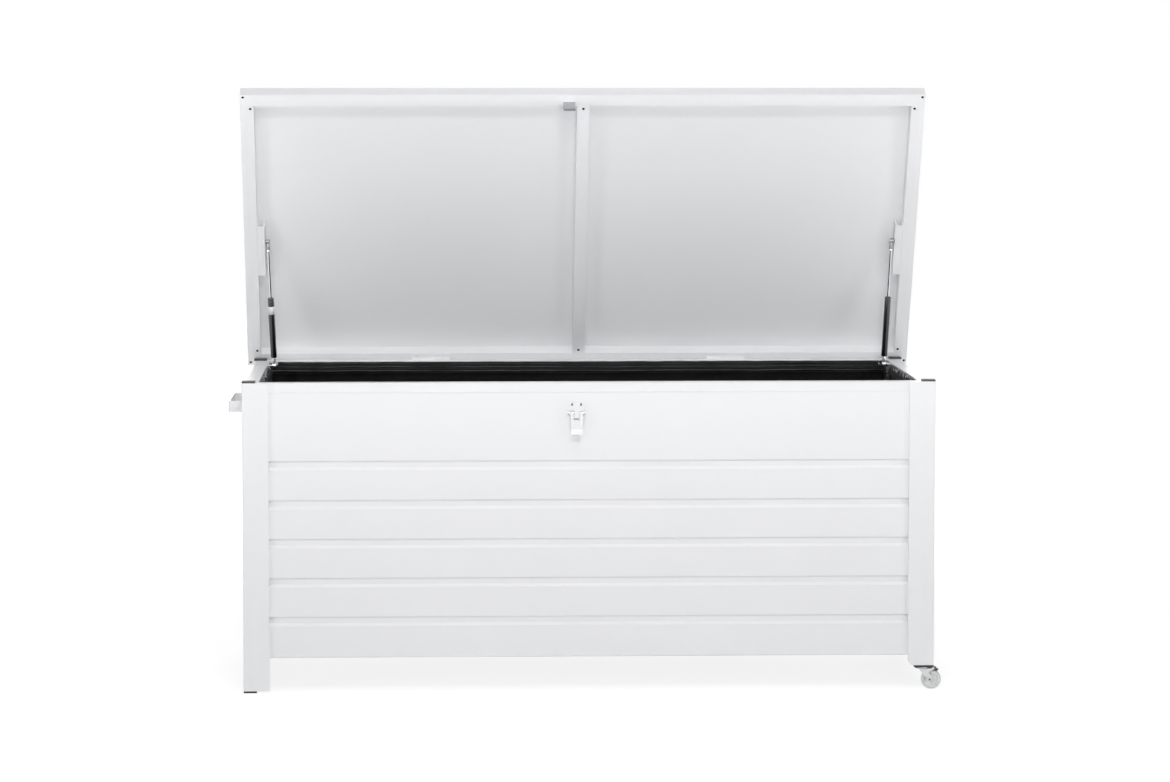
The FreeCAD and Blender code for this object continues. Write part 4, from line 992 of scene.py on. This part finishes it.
class BOX_OT_metalwork(Operator):
    """Powder coat, zinc and plastic on the sheets, tubes, hinges, latch, handle and casters"""
    bl_idname = "cushion_box.metalwork"
    bl_label = "Metalwork finishes"

    def execute(self, context):
        scene = context.scene
        small = scene.box_small_parts
        finishes = {
            "white_powder_coat": powder_coat(scene.box_powder_coat),
            "black_plastic": moulded_plastic("black_plastic", small.plastic_colour),
            "zinc_plate": plated("zinc_plate", small.zinc_colour),
        }
        for subpart in frame["record"]["subparts"]:
            material = finishes.get(subpart["material_slot"])
            if material is not None:
                dressed([NODES[subpart["node"]]], material)
        # Painted shade: the feet, caster plates and pedals get a darker copy of the black plastic
        feet = ("post_feet", "caster_plates", "caster_brake_front", "caster_brake_rear")
        dressed([NODES[name] for name in feet], moulded_plastic("foot_plastic", small.shaded_foot_colour))
        # Painted shade: a darker copy of the zinc on the keeper, which damps its bright highlight
        dressed([NODES["latch_keeper"]], plated("keeper_plate", shade(small.zinc_colour, 0.7)[:3]))
        for label in ("front", "rear"):
            spin = JOINTS["wheel_spin_" + label]
            hollow = (spin["pos_m"], spin["axis"], small.axle_hollow_shade)
            dressed([NODES["caster_axle_" + label]], plated("axle_" + label, small.zinc_colour, hollow))
        return {"FINISHED"}


# Camera, lights and floor

# Name, place, target, width and height, setting that holds the power, and spread in degrees
SOFTBOXES = (
    ("front_softbox", (0.0, -4.6, 1.2), (0.0, 0.25, 2.41), (4.4, 0.5), "front_power", 58.0),
    ("low_softbox", (0.0, -4.6, 0.3), (0.0, -0.37, 0.0), (4.0, 0.3), "low_power", 40.0),
    ("slope_softbox", (0.0, -4.2, 3.6), (0.0, 0.0, 0.9), (2.4, 0.5), "slope_power", 180.0),
    ("high_softbox", (0.0, -1.6, 3.3), (0.0, 0.1, 0.7), (3.4, 1.2), "high_power", 180.0),
    ("top_softbox", (0.0, -0.2, 3.3), (0.0, -0.2, 0.0), (3.4, 1.4), "top_power", 180.0),
    ("left_softbox", (-4.6, -3.4, 0.5), (0.0, 0.0, 0.7), (1.4, 1.0), "side_power", 180.0),
    ("right_softbox", (4.6, -3.4, 0.5), (0.0, 0.0, 0.7), (1.4, 1.0), "side_power", 180.0),
    ("rear_softbox", (0.0, 4.2, 2.0), (0.0, 0.0, 0.7), (3.4, 1.6), "rear_power", 180.0),
)


def softbox(name, place, target, size, power, spread):
    """Rectangular area lamp of a width and height that points at a target and isn't seen by the camera."""
    lamp = bpy.data.lights.new(name, "AREA")
    lamp.shape = "RECTANGLE"
    lamp.size, lamp.size_y = size
    lamp.energy = power
    lamp.spread = math.radians(spread)
    holder = bpy.data.objects.new(name, lamp)
    bpy.context.scene.collection.objects.link(holder)
    holder.location = place
    holder.rotation_euler = (Vector(target) - Vector(place)).to_track_quat("-Z", "Y").to_euler()
    holder.visible_camera = False


def bare_nodes(holder):
    """An emptied node tree of a world or a material."""
    holder.use_nodes = True
    holder.node_tree.nodes.clear()
    return Nodes(holder.node_tree)


def studio_world(strength):
    """White backdrop at strength 1 where it is seen, and a lower even light on the object.

    What a gloss sees is darker towards the camera's side, as the room behind a camera is."""
    world = bpy.data.worlds.new("studio")
    nodes = bare_nodes(world)
    way = nodes.node("ShaderNodeTexCoord", output="Generated")
    ahead = nodes.node("ShaderNodeSeparateXYZ", sockets={0: way}, output="Y")
    room = nodes.smooth_range(ahead, -1.0, -0.72, 0.12, 1.0)
    colour = nodes.mix(nodes.ray("Is Glossy Ray"), (1.0, 1.0, 1.0, 1.0), room)
    level = nodes.seen_directly() * (1.0 - strength) + strength
    light = nodes.node("ShaderNodeBackground", sockets={"Color": colour, "Strength": level})
    nodes.node("ShaderNodeOutputWorld", sockets={"Surface": light})
    bpy.context.scene.world = world


def studio_floor():
    """Wide pale floor that is seen white, keeps a soft shadow near the box and is plain white far away."""
    reach = 14.0
    shadow_end = 1.6
    white_start = 4.5
    x, y = np.meshgrid([-reach, reach], [-reach, reach])
    floor = joined("studio_floor", [net(np.stack([x, y, np.zeros_like(x)], axis=2))])
    material = bpy.data.materials.new("studio_floor")
    nodes = bare_nodes(material)
    lit = nodes.node("ShaderNodeBsdfDiffuse", sockets={"Color": (0.90, 0.90, 0.90, 1.0)})
    soft = nodes.node("ShaderNodeBsdfDiffuse", sockets={"Color": (0.42, 0.42, 0.42, 1.0)})
    away = nodes.vector("LENGTH", nodes.node("ShaderNodeTexCoord", output="Object"), output="Value")
    level = nodes.smooth_range(away, shadow_end, white_start, 0.80, 1.0)
    glow = nodes.node("ShaderNodeEmission", sockets={"Strength": level})
    shown = nodes.node("ShaderNodeAddShader", sockets={0: soft, 1: glow})
    choice = nodes.node("ShaderNodeMixShader", sockets={0: nodes.seen_directly(), 1: lit, 2: shown})
    nodes.node("ShaderNodeOutputMaterial", sockets={"Surface": choice})
    dressed([floor], material)


class BOX_OT_studio(Operator):
    """Camera at the photograph's angle, eight softboxes, an even world and a white floor"""
    bl_idname = "cushion_box.studio"
    bl_label = "Studio"

    def execute(self, context):
        settings = context.scene.box_studio
        lens = bpy.data.cameras.new("camera")
        lens.lens = settings.lens
        lens.sensor_width = 36.0
        lens.sensor_fit = "HORIZONTAL"
        lens.clip_end = 200.0
        camera = bpy.data.objects.new("camera", lens)
        context.scene.collection.objects.link(camera)
        camera.location = settings.camera_place
        camera.rotation_euler = (math.pi / 2.0 - settings.camera_down, 0.0, -settings.camera_right)
        context.scene.camera = camera
        for name, place, target, size, power, spread in SOFTBOXES:
            softbox(name, place, target, size, getattr(settings, power), spread)
        studio_world(settings.world_strength)
        studio_floor()
        context.scene.view_settings.view_transform = "Standard"
        return {"FINISHED"}


class BOX_PT_pieces(Panel):
    """Buttons for the box's pieces, and their sizes and colours"""
    bl_idname = "BOX_PT_pieces"
    bl_label = "Cushion box"
    bl_space_type = "VIEW_3D"
    bl_region_type = "UI"
    bl_category = "Cushion box"

    def draw(self, context):
        for operator in OPERATORS:
            self.layout.operator(operator.bl_idname)
        for name in SETTINGS:
            group = getattr(context.scene, name)
            column = self.layout.column(align=True)
            for setting in group.bl_rna.properties.keys():
                if setting not in ("rna_type", "name"):
                    column.prop(group, setting)


OPERATORS = (BOX_OT_metalwork, BOX_OT_liner, BOX_OT_gas_springs, BOX_OT_wheels, BOX_OT_fasteners,
             BOX_OT_studio)
CLASSES = tuple(SETTINGS.values()) + OPERATORS + (BOX_PT_pieces,)


def register():
    for part in CLASSES:
        bpy.utils.register_class(part)
    for name, group in SETTINGS.items():
        setattr(bpy.types.Scene, name, PointerProperty(type=group))


def unregister():
    for name in SETTINGS:
        delattr(bpy.types.Scene, name)
    for part in reversed(CLASSES):
        bpy.utils.unregister_class(part)


def main():
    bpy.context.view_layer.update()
    register()
    for operator in OPERATORS:
        group, name = operator.bl_idname.split(".")
        getattr(getattr(bpy.ops, group), name)()


if __name__ == "__main__":
    main()
